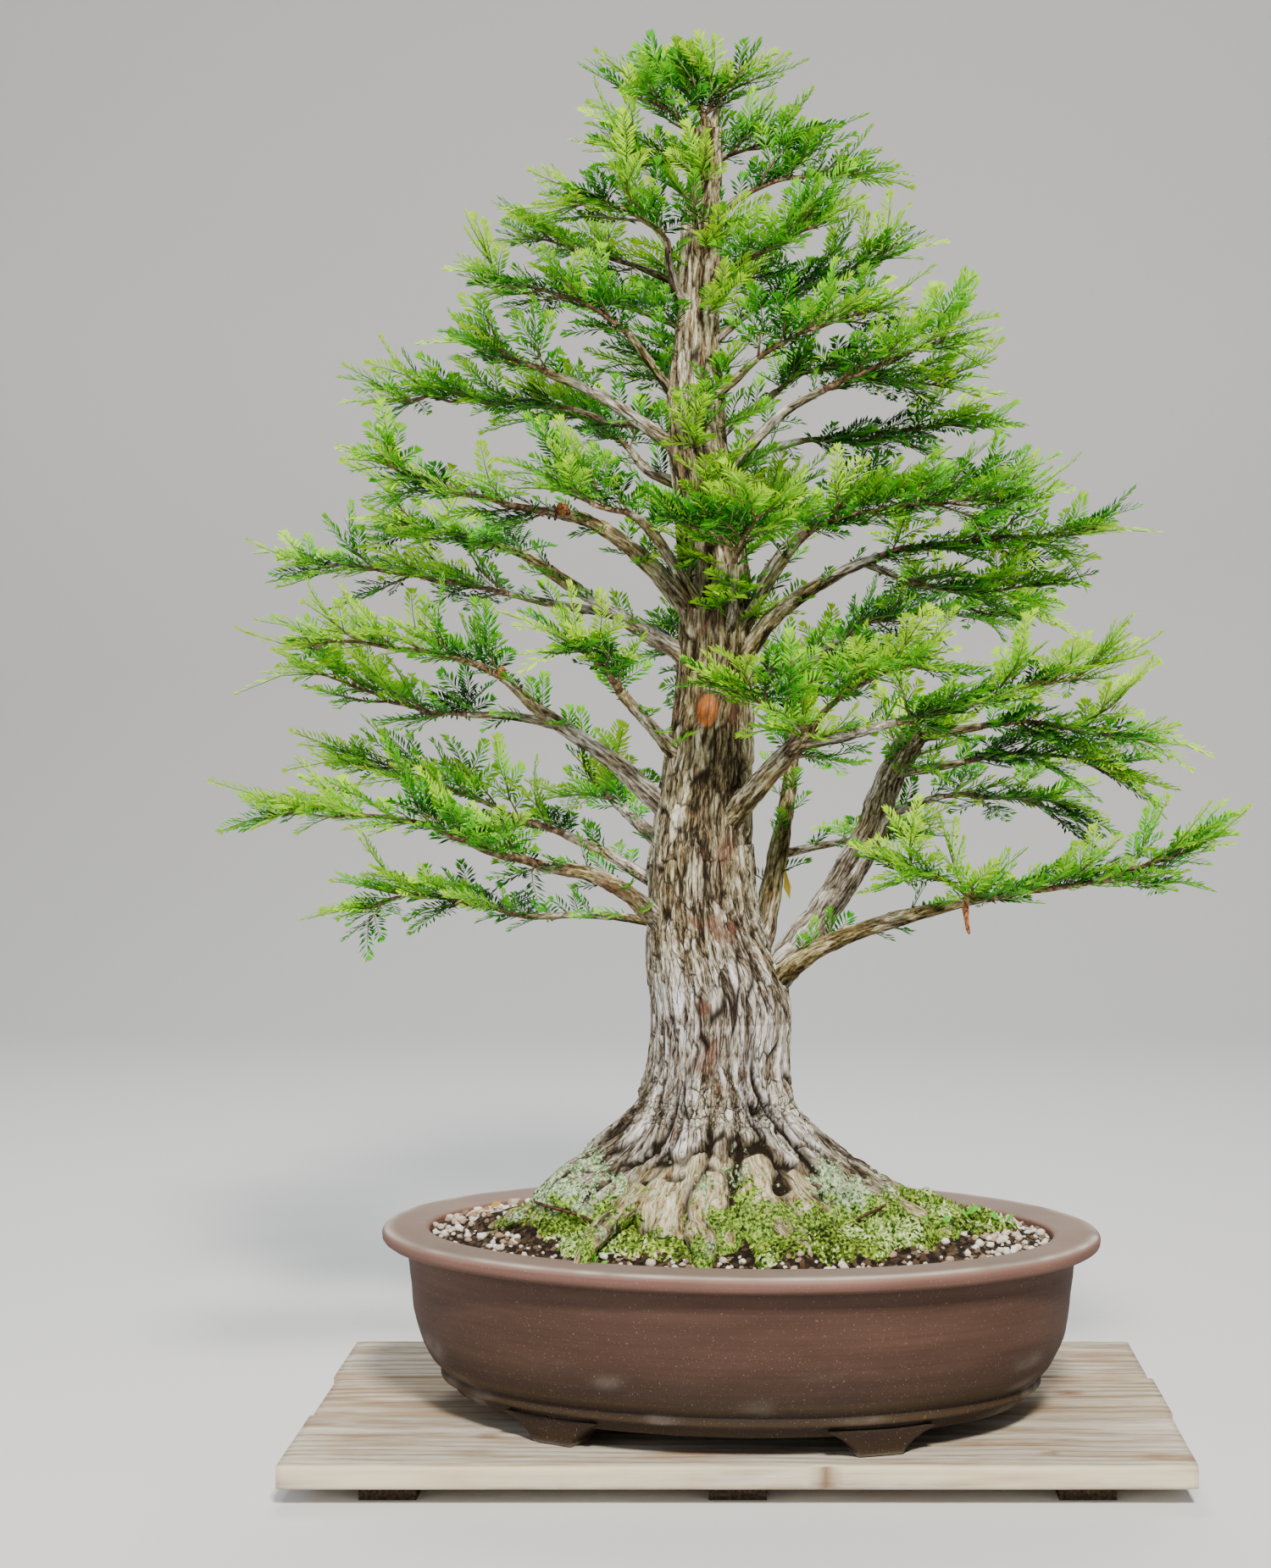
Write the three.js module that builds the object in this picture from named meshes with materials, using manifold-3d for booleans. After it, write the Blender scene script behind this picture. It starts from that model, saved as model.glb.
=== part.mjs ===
// A bald cypress bonsai in an oval stoneware pot on a three-plank display board.
// Millimetres, +Z up. The origin is the middle of the underside that the board rests on.
// +X is the tree's right as it is shown, and -Y is its front.
import * as THREE from 'three';
import { mergeVertices } from 'three/addons/utils/BufferGeometryUtils.js';
import Module from 'manifold-3d';

const wasm = await Module();
wasm.setup();
const vec = (x, y, z) => new THREE.Vector3(x, y, z);
const radians = THREE.MathUtils.degToRad;
const mix = THREE.MathUtils.lerp;
const UP = vec(0, 0, 1);

// Driving dimensions.
const GAP = 0.3;                        // clearance between neighbouring pieces
const BOARD = { length: 600, thick: 16, joint: 1, arris: 1.5 };
const PLANK_DEPTHS = { front: 124, middle: 101, back: 109 };
const PLANK_ENDS = { front: 0, middle: 2, back: -1.5 };
const BATTEN = { width: 38, height: 12, overhang: 18, spacing: 230 };
const POT = { x: -1.5, y: -20, turn: -7, halfLength: 254, halfDepth: 177, sides: 34 };
const POT_FLOOR = 56;
const POT_BASE = 42;
const FOOT = { top: 66, bottom: 40, thick: 22, angle: 57, sunk: 4, insetLength: 48.5, insetDepth: 39.5 };
const DRAIN = { radius: 13, apart: 200 };
const SOIL = { edge: 149, mound: 44 };
const TRUNK = { sides: 18, footBottom: 138, flareFull: 190, flareTop: 260, depthRatio: 0.86 };
const WIRE = { radius: 1.1, offSurface: 3.7, sides: 4, steps: 9 };
const NEEDLE = { length: 11.5, pitch: 5.8, sweep: 40, rib: 0.75, height: 1.1 };
const TWIG_TIP = 0.8;

const PAINT = {
  plank: { color: 0xb5ab97, roughness: 0.85 },
  batten: { color: 0x8d806b, roughness: 0.9 },
  pot: { color: 0x6d4f41, roughness: 0.75 },
  soil: { color: 0x4a4630, roughness: 1 },
  bark: { color: 0x9d8f78, roughness: 0.95 },
  wire: { color: 0x4a3b31, roughness: 0.7, metalness: 0.6 },
  leaf: { color: 0x6fbf33, roughness: 0.6 },
};

const model = new THREE.Group();
const planting = new THREE.Group();     // pot, soil and tree stand a little forward on the board
planting.position.set(POT.x, POT.y, 0);
model.add(planting);

// A skin over rings that all have the same number of points, with a flat cap at each end.
function skin(rings) {
  const count = rings[0].length;
  const points = rings.flat();
  const faces = [];
  for (let ring = 0; ring + 1 < rings.length; ring += 1) {
    for (let side = 0; side < count; side += 1) {
      const a = ring * count + side;
      const b = ring * count + ((side + 1) % count);
      faces.push(a, b, b + count, a, b + count, a + count);
    }
  }
  const last = points.length - count;
  for (let side = 1; side + 1 < count; side += 1) {
    faces.push(0, side + 1, side, last, last + side, last + side + 1);
  }
  const geometry = new THREE.BufferGeometry().setFromPoints(points);
  geometry.setIndex(faces);
  return geometry;
}

// The closed solid of a geometry, turned right side out if its faces point in.
function solid(geometry) {
  const bare = new THREE.BufferGeometry();
  bare.setAttribute('position', geometry.getAttribute('position').clone());
  if (geometry.getIndex()) bare.setIndex(geometry.getIndex());
  const merged = mergeVertices(bare, 1e-4);
  const place = merged.getAttribute('position');
  const corners = Array.from(merged.getIndex().array);
  const [a, b, c] = [vec(0, 0, 0), vec(0, 0, 0), vec(0, 0, 0)];
  let volume = 0;
  for (let i = 0; i < corners.length; i += 3) {
    a.fromBufferAttribute(place, corners[i]);
    b.fromBufferAttribute(place, corners[i + 1]);
    c.fromBufferAttribute(place, corners[i + 2]);
    volume += a.dot(b.cross(c));
  }
  if (volume < 0) corners.reverse();
  const vertProperties = new Float32Array(place.array);
  return new wasm.Manifold(new wasm.Mesh({ numProp: 3, vertProperties, triVerts: new Uint32Array(corners) }));
}

function geometryOf(body) {
  const mesh = body.getMesh();
  const geometry = new THREE.BufferGeometry();
  geometry.setAttribute('position', new THREE.BufferAttribute(new Float32Array(mesh.vertProperties), 3));
  geometry.setIndex(Array.from(mesh.triVerts));
  geometry.computeVertexNormals();
  return geometry;
}

function addPiece(name, geometry, paint, parent) {
  const mesh = new THREE.Mesh(geometry, new THREE.MeshStandardMaterial({ metalness: 0, ...paint }));
  mesh.name = name;
  parent.add(mesh);
  return mesh;
}

// A number from 0 to 1 that depends only on its whole-number keys, so one twig can be grown by itself.
function draw(...keys) {
  let hash = 2166136261;
  for (const key of keys) {
    hash = Math.imul(hash ^ (key + 101), 16777619);
    hash ^= hash >>> 13;
    hash = Math.imul(hash, 1540483477);
    hash ^= hash >>> 15;
  }
  return (hash >>> 0) / 4294967296;
}

// The board: planks laid edge to edge with an open joint, their ends not quite in line.
function plank(name, depth, nearEdge, endShift) {
  const { thick, arris, length } = BOARD;
  const end = new THREE.Shape();
  end.moveTo(arris, 0);
  end.lineTo(depth - arris, 0);
  end.lineTo(depth, arris);
  end.lineTo(depth, thick - arris);
  end.lineTo(depth - arris, thick);
  end.lineTo(arris, thick);
  end.lineTo(0, thick - arris);
  end.lineTo(0, arris);
  end.closePath();
  const geometry = new THREE.ExtrudeGeometry(end, { depth: length, bevelEnabled: false });
  geometry.rotateX(Math.PI / 2);
  geometry.rotateZ(Math.PI / 2);
  const board = addPiece(`plank_${name}`, geometryOf(solid(geometry)), PAINT.plank, model);
  board.position.set(endShift - length / 2, nearEdge, BATTEN.height);
}

function board() {
  const depths = Object.values(PLANK_DEPTHS);
  const whole = depths.reduce((sum, depth) => sum + depth, 0) + BOARD.joint * (depths.length - 1);
  let nearEdge = -whole / 2;
  for (const [name, depth] of Object.entries(PLANK_DEPTHS)) {
    plank(name, depth, nearEdge, PLANK_ENDS[name]);
    nearEdge += depth + BOARD.joint;
  }
  for (const [name, place] of Object.entries({ left: -1, middle: 0, right: 1 })) {
    const geometry = new THREE.BoxGeometry(BATTEN.width, whole - 2 * BATTEN.overhang, BATTEN.height);
    const batten = addPiece(`batten_${name}`, geometry, PAINT.batten, model);
    batten.position.set(place * BATTEN.spacing, 0, BATTEN.height / 2);
  }
}
board();

// One level ring of the pot's oval, set in from the rim's outer edge along its length and its depth.
function oval(insetLength, insetDepth, height) {
  return Array.from({ length: POT.sides }, (_, side) => {
    const angle = (side / POT.sides) * 2 * Math.PI;
    const along = (POT.halfLength - insetLength) * Math.cos(angle);
    const across = (POT.halfDepth - insetDepth) * Math.sin(angle);
    return vec(along, across, height).applyAxisAngle(UP, radians(POT.turn));
  });
}

// The wall's section as [inset along the length, inset along the depth, height], up the outside.
const POT_OUTSIDE = [
  [52, 43, POT_BASE], [47, 38.5, 49.5], [41.5, 34.5, 51], [42.5, 35.5, 55], [34.5, 28.5, 64],
  [27, 22, 79], [22, 18, 98], [19, 16, 132], [16, 13, 143.5], [2.5, 2.5, 145], [0, 0, 148],
  [0, 0, 152], [2.5, 2.5, 155], [30, 35, 155],
];
// and down the inside, which the soil follows.
const POT_INSIDE = [[33, 38, 153], [36, 40, 125], [42, 44, 92], [62, 58, POT_FLOOR]];

function pot() {
  const rings = [...POT_OUTSIDE, ...POT_INSIDE].map((ring) => oval(...ring));
  let body = solid(skin(rings));

  // Four bracket feet follow the base oval; each is a block with sloping ends.
  const side = new THREE.Shape();
  const rise = POT_BASE + FOOT.sunk - BOARD.thick - BATTEN.height;
  side.moveTo(-FOOT.bottom / 2, 0);
  side.lineTo(FOOT.bottom / 2, 0);
  side.lineTo(FOOT.top / 2, rise);
  side.lineTo(-FOOT.top / 2, rise);
  side.closePath();
  const [baseLength, baseDepth] = [POT.halfLength - FOOT.insetLength, POT.halfDepth - FOOT.insetDepth];
  for (const quarter of [FOOT.angle, 180 - FOOT.angle, 180 + FOOT.angle, 360 - FOOT.angle]) {
    const angle = radians(quarter);
    const outward = vec(baseDepth * Math.cos(angle), baseLength * Math.sin(angle), 0).normalize();
    const block = new THREE.ExtrudeGeometry(side, { depth: FOOT.thick, bevelEnabled: false });
    block.translate(0, 0, -FOOT.thick);
    block.applyMatrix4(new THREE.Matrix4().makeBasis(vec(-outward.y, outward.x, 0), UP, outward));
    block.translate(baseLength * Math.cos(angle), baseDepth * Math.sin(angle), BOARD.thick + BATTEN.height);
    block.rotateZ(radians(POT.turn));
    body = body.add(solid(block));
  }
  for (const end of [-1, 1]) {
    const drain = new THREE.CylinderGeometry(DRAIN.radius, DRAIN.radius, 2 * (POT_FLOOR - POT_BASE), 10);
    drain.rotateX(Math.PI / 2);
    drain.translate((end * DRAIN.apart) / 2, 0, (POT_FLOOR + POT_BASE) / 2);
    body = body.subtract(solid(drain));
  }
  addPiece('pot', geometryOf(body), PAINT.pot, planting);
}
pot();

// The trunk at rising heights as [height, middle, half width]; its foot widens into root spurs.
const TRUNK_LEVELS = [
  [TRUNK.footBottom, -10, 118], [164, -10, 124], [177, -10, 123], [188, -11, 111], [202, -11, 88],
  [219, -12, 70], [235, -14, 55], [252, -13, 46], [282, -12, 43], [312, -9, 47], [345, -20, 41],
  [378, -27, 34], [430, -27, 29.5], [542, -18, 22], [602, -16, 19.5], [662, -21, 17.5], [722, -31, 16.5],
  [782, -31, 11.7], [931, -22, 6.5],
];

// How far the trunk's outline stands out or in at an angle, as a share of its radius.
function spurs(angle, height) {
  const level = Math.max(height, TRUNK.flareFull);
  const flare = THREE.MathUtils.smoothstep(TRUNK.flareTop - level, 0, TRUNK.flareTop - TRUNK.flareFull);
  const flutes = 0.045 * Math.cos(5 * angle + 1.2 + level / 110) + 0.035 * Math.cos(3 * angle - level / 70);
  return 1 + flutes + flare * (0.06 * Math.cos(5 * angle + 0.9) + 0.05 * Math.cos(3 * angle + 2));
}

function trunkRing([height, middle, halfWidth], extra = 0) {
  return Array.from({ length: TRUNK.sides }, (_, side) => {
    const angle = (side / TRUNK.sides) * 2 * Math.PI;
    const reach = halfWidth * spurs(angle, height) + extra;
    return vec(middle + reach * Math.cos(angle), TRUNK.depthRatio * reach * Math.sin(angle), height);
  });
}

// A stem along a smooth curve through its points, from one share of the way to another.
// Each section is a ring square to the curve, carried along without twisting.
function stem(points, from, to, sides, steps, radiusAt) {
  const curve = new THREE.CatmullRomCurve3(points);
  const first = curve.getTangent(from);
  const across = vec(0, 0, 0).crossVectors(first, Math.abs(first.z) < 0.9 ? UP : vec(0, 1, 0));
  const rings = [];
  for (let step = 0; step <= steps; step += 1) {
    const share = mix(from, to, step / steps);
    const along = curve.getTangent(share);
    across.addScaledVector(along, -across.dot(along)).normalize();
    const other = vec(0, 0, 0).crossVectors(along, across);
    const centre = curve.getPoint(share);
    rings.push(Array.from({ length: sides }, (_, side) => {
      const angle = (side / sides) * 2 * Math.PI;
      return centre.clone()
        .addScaledVector(across, radiusAt(share) * Math.cos(angle))
        .addScaledVector(other, radiusAt(share) * Math.sin(angle));
    }));
  }
  return skin(rings);
}

// Tie wires over the root flare hold the tree down in its pot. Each goes round the trunk through
// these places, as [angle, height], and has both ends down in the soil.
const TIE_WIRES = {
  left: [[-124, 132], [-130, 160], [-141, 173], [-156, 181], [-172, 185], [-188, 183], [-202, 172],
    [-208, 150]],
  right: [[-60, 132], [-54, 160], [-44, 174], [-31, 182], [-14, 187], [6, 187], [22, 177], [30, 150]],
};

function onFlare([turn, height]) {
  const angle = radians(turn);
  const above = TRUNK_LEVELS.findIndex((level) => level[0] > height);
  const [low, high] = [TRUNK_LEVELS[Math.max(0, above - 1)], TRUNK_LEVELS[above]];
  const share = Math.max(0, (height - low[0]) / Math.max(1, high[0] - low[0]));
  const [middle, halfWidth] = [1, 2].map((value) => mix(low[value], high[value], share));
  const reach = halfWidth * spurs(angle, height) + WIRE.offSurface;
  return vec(middle + reach * Math.cos(angle), TRUNK.depthRatio * reach * Math.sin(angle), height);
}

function tieWire(places, spare = 0) {
  const route = places.map(onFlare);
  for (const end of [route[0], route.at(-1)]) end.z -= spare;
  return stem(route, 0, 1, WIRE.sides, WIRE.steps, () => WIRE.radius + spare);
}

function tieWires() {
  for (const [side, places] of Object.entries(TIE_WIRES)) {
    addPiece(`tie_wire_${side}`, tieWire(places), PAINT.wire, planting);
  }
}
tieWires();

// Moss cushions on the soil as [x, y, radius, height].
const CUSHIONS = [
  [-164, -6, 26, 5], [-131, -38, 24, 6], [-98, -82, 22, 5], [-76, -104, 24, 4], [-40, -118, 26, 5],
  [38, -114, 26, 7], [79, -100, 24, 6], [112, -72, 24, 7], [136, -30, 26, 8], [173, -12, 22, 6],
  [-120, 50, 26, 5], [-40, 112, 30, 6], [60, 108, 28, 5], [130, 44, 28, 6],
];

// The soil's height: level at the pot's edge, mounded to the trunk, with lumps and cushions.
function soilHeight(x, y) {
  const turned = vec(x, y, 0).applyAxisAngle(UP, -radians(POT.turn));
  const along = turned.x / (POT.halfLength - POT_INSIDE[0][0]);
  const across = turned.y / (POT.halfDepth - POT_INSIDE[0][1]);
  const inward = Math.max(0, 1 - Math.hypot(along, across));
  let lumps = 1.4 * Math.sin(x / 9 + 1) * Math.cos(y / 8) + 0.9 * Math.sin(x / 5 + y / 6);
  for (const [cushionX, cushionY, radius, rise] of CUSHIONS) {
    const away = Math.hypot(x - cushionX, y - cushionY) / radius;
    if (away < 1) lumps += rise * Math.sqrt(1 - away * away);
  }
  const atRim = Math.min(1, 7 * inward);   // the lumps die away towards the pot's wall
  return SOIL.edge + SOIL.mound * inward + atRim * lumps;
}

function soil() {
  const wall = POT_INSIDE.slice(1).reverse();
  const rings = wall.map(([length, depth, height], level) =>
    oval(length + 2 * GAP, depth + 2 * GAP, height + (level === 0 ? GAP : 0)));
  const [edgeLength, edgeDepth] = POT_INSIDE[0];
  for (const inward of [0.012, 0.1, 0.21, 0.34, 0.5, 0.7]) {
    const top = oval(mix(edgeLength, POT.halfLength, inward), mix(edgeDepth, POT.halfDepth, inward), 0);
    rings.push(top.map(({ x, y }) => vec(x, y, soilHeight(x, y))));
  }
  const foot = TRUNK_LEVELS[1];
  const plug = [TRUNK.footBottom - GAP, SOIL.edge + 2 * SOIL.mound].map((height) =>
    trunkRing(foot, 2 * GAP).map((point) => point.setZ(height)));
  let body = solid(skin(rings)).subtract(solid(skin(plug)));
  for (const places of Object.values(TIE_WIRES)) body = body.subtract(solid(tieWire(places, 2 * GAP)));
  addPiece('soil', geometryOf(body), PAINT.soil, planting);
}
soil();

// Every limb: its name, radius where it leaves its parent, radius where its leafy end begins, the
// point of its route where that is, and the route itself. Forks are more leafy stems that leave the
// leafy end near its foot.
const LIMBS = [
  { name: 'left_01', thick: 3.4, cut: 2.0, leafAt: 3, route: [
    [-40, 10, 364], [-83, 34, 370], [-120, 60, 370], [-160, 85, 367], [-192, 104, 374], [-232, 118, 379],
    [-268, 122, 376], [-306, 118, 364]] },
  { name: 'left_02', thick: 8, cut: 3.4, leafAt: 4, route: [
    [-36, 2, 352], [-60, -20, 376], [-76, -40, 392], [-100, -65, 407], [-133, -88, 415], [-165, -108, 426],
    [-208, -128, 443], [-258, -148, 452], [-310, -160, 457]] },
  { name: 'left_03', thick: 5.2, cut: 2.7, leafAt: 3, route: [
    [-36, 8, 384], [-68, 16, 401], [-95, 30, 416], [-126, 44, 429], [-170, 60, 444], [-216, 74, 462],
    [-262, 84, 478], [-300, 90, 482]] },
  { name: 'left_04', thick: 8, cut: 3, leafAt: 5, route: [
    [-30, 5, 434], [-57, 4, 454], [-88, 0, 483], [-120, -5, 505], [-140, -10, 519], [-166, -14, 543],
    [-198, -20, 555], [-238, -25, 562], [-280, -30, 566], [-312, -30, 562]] },
  { name: 'left_05', thick: 3.2, cut: 2.2, leafAt: 2, route: [
    [-126, -6, 509], [-162, 10, 515], [-194, 28, 516], [-227, 44, 519], [-262, 54, 529], [-295, 60, 543],
    [-336, 60, 546]] },
  { name: 'left_06', thick: 6, cut: 3, leafAt: 3, route: [
    [-26, -4, 470], [-46, -16, 491], [-61, -40, 509], [-80, -68, 532], [-91, -90, 549], [-103, -105, 558],
    [-130, -120, 567]] },
  { name: 'left_07', thick: 7.4, cut: 3, leafAt: 5, route: [
    [-20, 0, 541], [-42, 0, 560], [-69, 5, 577], [-97, 10, 594], [-127, 20, 613], [-155, 30, 631],
    [-193, 40, 644], [-230, 46, 653], [-268, 50, 655]] },
  { name: 'left_08', thick: 3.6, cut: 2.2, leafAt: 3, route: [
    [-84, 8, 587], [-112, 28, 592], [-139, 44, 597], [-167, 60, 604], [-204, 74, 612], [-255, 84, 620],
    [-300, 90, 628], [-338, 90, 628]] },
  { name: 'left_09', thick: 7.6, cut: 3, leafAt: 5, route: [
    [-16, 0, 562], [-33, -5, 586], [-59, -15, 618], [-80, -25, 636], [-103, -35, 650], [-131, -45, 656],
    [-160, -54, 661], [-194, -60, 670], [-227, -65, 681], [-256, -70, 691]] },
  { name: 'left_10', thick: 5.2, cut: 2.4, leafAt: 4, route: [
    [-16, -5, 577], [-29, -16, 594], [-46, -36, 622], [-60, -55, 643], [-74, -70, 653], [-95, -84, 658],
    [-112, -96, 672], [-112, -104, 698]] },
  { name: 'left_11', thick: 5.2, cut: 2.3, leafAt: 3, route: [
    [-22, 4, 666], [-42, 15, 679], [-67, 38, 693], [-81, 58, 710], [-101, 78, 728], [-130, 94, 740],
    [-163, 104, 752]] },
  { name: 'left_12', thick: 6, cut: 2.7, leafAt: 4, route: [
    [-28, 0, 690], [-45, -5, 705], [-74, -10, 725], [-103, -15, 743], [-133, -20, 755], [-162, -25, 766],
    [-192, -30, 778]] },
  { name: 'left_13', thick: 2.8, cut: 1.8, leafAt: 2, route: [
    [-66, -9, 720], [-90, 14, 724], [-119, 36, 736], [-151, 50, 744], [-189, 55, 744], [-232, 55, 747],
    [-262, 55, 745]] },
  { name: 'left_14', thick: 4.2, cut: 2.1, leafAt: 3, route: [
    [-31, 0, 731], [-47, -5, 744], [-63, -19, 764], [-77, -30, 781], [-101, -40, 797], [-131, -45, 808],
    [-159, -50, 812], [-182, -50, 815]] },
  { name: 'left_15', thick: 3.2, cut: 1.9, leafAt: 2, route: [
    [-31, 2, 781], [-45, 20, 794], [-65, 48, 806], [-91, 74, 818], [-118, 92, 822]] },
  { name: 'left_16', thick: 4, cut: 2, leafAt: 3, route: [
    [-28, -2, 803], [-42, -12, 811], [-48, -25, 829], [-50, -33, 846], [-64, -42, 857], [-82, -50, 865],
    [-107, -57, 866], [-136, -60, 862]] },
  { name: 'left_17', thick: 3.4, cut: 1.9, leafAt: 2, route: [
    [-27, 3, 814], [-46, 7, 823], [-72, 14, 835], [-95, 20, 843], [-119, 24, 850], [-146, 26, 857],
    [-168, 25, 852]] },
  { name: 'left_18', thick: 2.6, cut: 1.6, leafAt: 1, route: [
    [-23, 0, 892], [-38, -5, 902], [-57, -10, 906], [-77, -14, 910], [-96, -16, 909]] },
  { name: 'left_19', thick: 2.2, cut: 1.5, leafAt: 1, route: [
    [-22, 0, 914], [-36, -7, 928], [-50, -14, 940], [-66, -18, 950], [-82, -20, 955]] },
  { name: 'right_01', thick: 8.4, cut: 3.2, leafAt: 5, route: [
    [6, -2, 312], [30, -15, 334], [54, -25, 352], [87, -35, 367], [121, -45, 378], [156, -53, 387],
    [202, -63, 396], [242, -70, 402], [287, -75, 418], [329, -80, 431]], forks: [
    [[162, -54, 388], [142, -62, 402], [118, -67, 411], [90, -71, 417]]] },
  { name: 'right_02', thick: 12.5, cut: 8, leafAt: 7, route: [
    [0, 2, 300], [30, 0, 338], [54, 0, 368], [75, 0, 401], [93, 0, 434], [105, 0, 467], [117, -5, 491],
    [127, -9, 506]] },
  { name: 'right_03', thick: 3.8, cut: 2.2, leafAt: 2, route: [
    [108, -1, 474], [134, -8, 478], [159, -14, 483], [189, -20, 489], [221, -24, 487], [252, -27, 482],
    [285, -28, 473]] },
  { name: 'right_04', thick: 3.4, cut: 2, leafAt: 2, route: [
    [97, 2, 444], [122, 20, 450], [146, 40, 457], [188, 60, 457], [220, 71, 453], [252, 76, 447]] },
  { name: 'right_05', thick: 4.2, cut: 2.3, leafAt: 2, route: [
    [123, -8, 499], [144, -16, 503], [170, -26, 508], [199, -36, 511], [233, -42, 509], [262, -46, 504],
    [292, -47, 500]] },
  { name: 'right_06', thick: 9, cut: 3.2, leafAt: 6, route: [
    [-3, 18, 320], [15, 44, 353], [24, 60, 395], [31, 70, 431], [36, 75, 462], [38, 82, 490], [38, 92, 512],
    [46, 110, 535], [64, 127, 550], [90, 138, 560]] },
  { name: 'right_07', thick: 3.2, cut: 2, leafAt: 2, route: [
    [31, 70, 414], [56, 94, 418], [78, 118, 421], [105, 136, 426], [132, 146, 430]] },
  { name: 'right_08', thick: 9, cut: 6, leafAt: 4, route: [
    [-18, -4, 430], [-3, -15, 447], [13, -30, 465], [33, -45, 488], [50, -55, 504]] },
  { name: 'right_09', thick: 4.6, cut: 2.4, leafAt: 3, route: [
    [44, -52, 497], [66, -65, 500], [86, -75, 505], [108, -82, 511], [142, -90, 520], [187, -97, 532],
    [227, -98, 542], [258, -98, 553]] },
  { name: 'right_10', thick: 2.8, cut: 1.9, leafAt: 2, route: [
    [48, -54, 502], [56, -58, 514], [66, -64, 524], [80, -77, 534], [98, -95, 542], [118, -112, 547],
    [144, -126, 549]] },
  { name: 'right_11', thick: 2.4, cut: 1.6, leafAt: 1, route: [
    [44, -54, 502], [32, -66, 513], [18, -77, 522], [2, -87, 530], [-18, -95, 537]] },
  { name: 'right_12', thick: 7, cut: 2.8, leafAt: 5, route: [
    [-8, 0, 545], [8, -5, 563], [24, -10, 584], [42, -15, 598], [67, -20, 613], [98, -26, 626],
    [129, -31, 634], [163, -36, 636], [198, -40, 640], [228, -43, 642], [259, -46, 644]] },
  { name: 'right_13', thick: 2.8, cut: 1.8, leafAt: 1, route: [
    [88, -24, 622], [110, -20, 613], [136, -16, 605], [164, -14, 601], [197, -14, 604], [233, -14, 611]] },
  { name: 'right_14', thick: 4.8, cut: 2.5, leafAt: 3, route: [
    [-6, 8, 538], [24, 44, 547], [50, 68, 556], [72, 86, 570], [90, 98, 583], [118, 107, 590],
    [152, 112, 595], [196, 115, 592], [246, 114, 588]] },
  { name: 'right_15', thick: 5.6, cut: 2.6, leafAt: 4, route: [
    [-8, 4, 563], [8, 10, 587], [18, 16, 612], [34, 22, 636], [56, 28, 656], [82, 34, 669], [116, 38, 677],
    [156, 40, 683], [197, 40, 686]] },
  { name: 'right_16', thick: 4.4, cut: 2.2, leafAt: 3, route: [
    [-4, -5, 570], [13, -12, 594], [30, -24, 621], [49, -38, 642], [82, -52, 654], [122, -62, 660],
    [167, -68, 661], [217, -70, 665]] },
  { name: 'right_17', thick: 5, cut: 2.5, leafAt: 4, route: [
    [-18, 0, 672], [-4, -5, 691], [13, -11, 710], [31, -17, 727], [60, -23, 743], [84, -28, 753],
    [111, -32, 764], [140, -33, 773], [167, -36, 776]] },
  { name: 'right_18', thick: 4.2, cut: 2.2, leafAt: 3, route: [
    [-18, 4, 667], [-3, 12, 686], [15, 24, 703], [46, 38, 714], [78, 48, 719], [114, 54, 723], [151, 58, 727],
    [179, 58, 726]] },
  { name: 'right_19', thick: 4.2, cut: 2.1, leafAt: 3, route: [
    [-24, 2, 702], [-10, 8, 718], [9, 14, 733], [27, 20, 747], [44, 26, 760], [70, 32, 765], [102, 36, 761],
    [138, 38, 754], [168, 38, 748]] },
  { name: 'right_20', thick: 4.2, cut: 2.1, leafAt: 3, route: [
    [-29, -2, 722], [-19, -8, 737], [-2, -17, 751], [14, -23, 765], [34, -33, 776], [58, -39, 785],
    [84, -43, 793], [114, -44, 803]] },
  { name: 'right_21', thick: 3.6, cut: 2, leafAt: 3, route: [
    [-28, 2, 764], [-18, 11, 780], [-5, 22, 794], [10, 33, 807], [34, 48, 820], [64, 58, 833], [95, 62, 846],
    [133, 62, 855]] },
  { name: 'right_22', thick: 3.4, cut: 2, leafAt: 2, route: [
    [-26, -1, 813], [-15, -7, 825], [2, -16, 833], [19, -22, 840], [37, -27, 848], [57, -31, 858],
    [79, -32, 868]] },
  { name: 'right_23', thick: 3.8, cut: 2, leafAt: 2, route: [
    [-24, 0, 861], [-11, 1, 873], [6, 1, 885], [27, 1, 893], [51, 1, 897], [73, 0, 896], [92, 0, 891]] },
  { name: 'right_24', thick: 2.6, cut: 1.6, leafAt: 1, route: [
    [-22, 2, 899], [-9, 7, 912], [10, 11, 920], [31, 13, 924], [53, 14, 925]] },
  { name: 'front_01', thick: 4, cut: 2.2, leafAt: 3, route: [
    [-13, -8, 562], [-5, -22, 579], [-3, -36, 601], [-2, -50, 621], [4, -66, 636], [18, -80, 652],
    [40, -90, 668]], forks: [[[0, -56, 627], [-14, -68, 638], [-34, -76, 648], [-52, -80, 652]]] },
  { name: 'back_01', thick: 6, cut: 2.8, leafAt: 3, route: [
    [-36, 10, 404], [-60, 48, 425], [-80, 82, 440], [-94, 108, 450], [-106, 136, 457], [-112, 160, 460],
    [-114, 184, 460]] },
  { name: 'back_02', thick: 6, cut: 2.8, leafAt: 3, route: [
    [-22, 6, 498], [-30, 40, 520], [-38, 75, 540], [-42, 105, 556], [-40, 136, 567], [-32, 168, 575],
    [-18, 198, 580]] },
  { name: 'back_03', thick: 5, cut: 2.4, leafAt: 2, route: [
    [-15, 6, 610], [-5, 36, 634], [8, 66, 655], [20, 98, 671], [30, 130, 681], [36, 162, 686]] },
  { name: 'back_04', thick: 4, cut: 2, leafAt: 2, route: [
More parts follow.
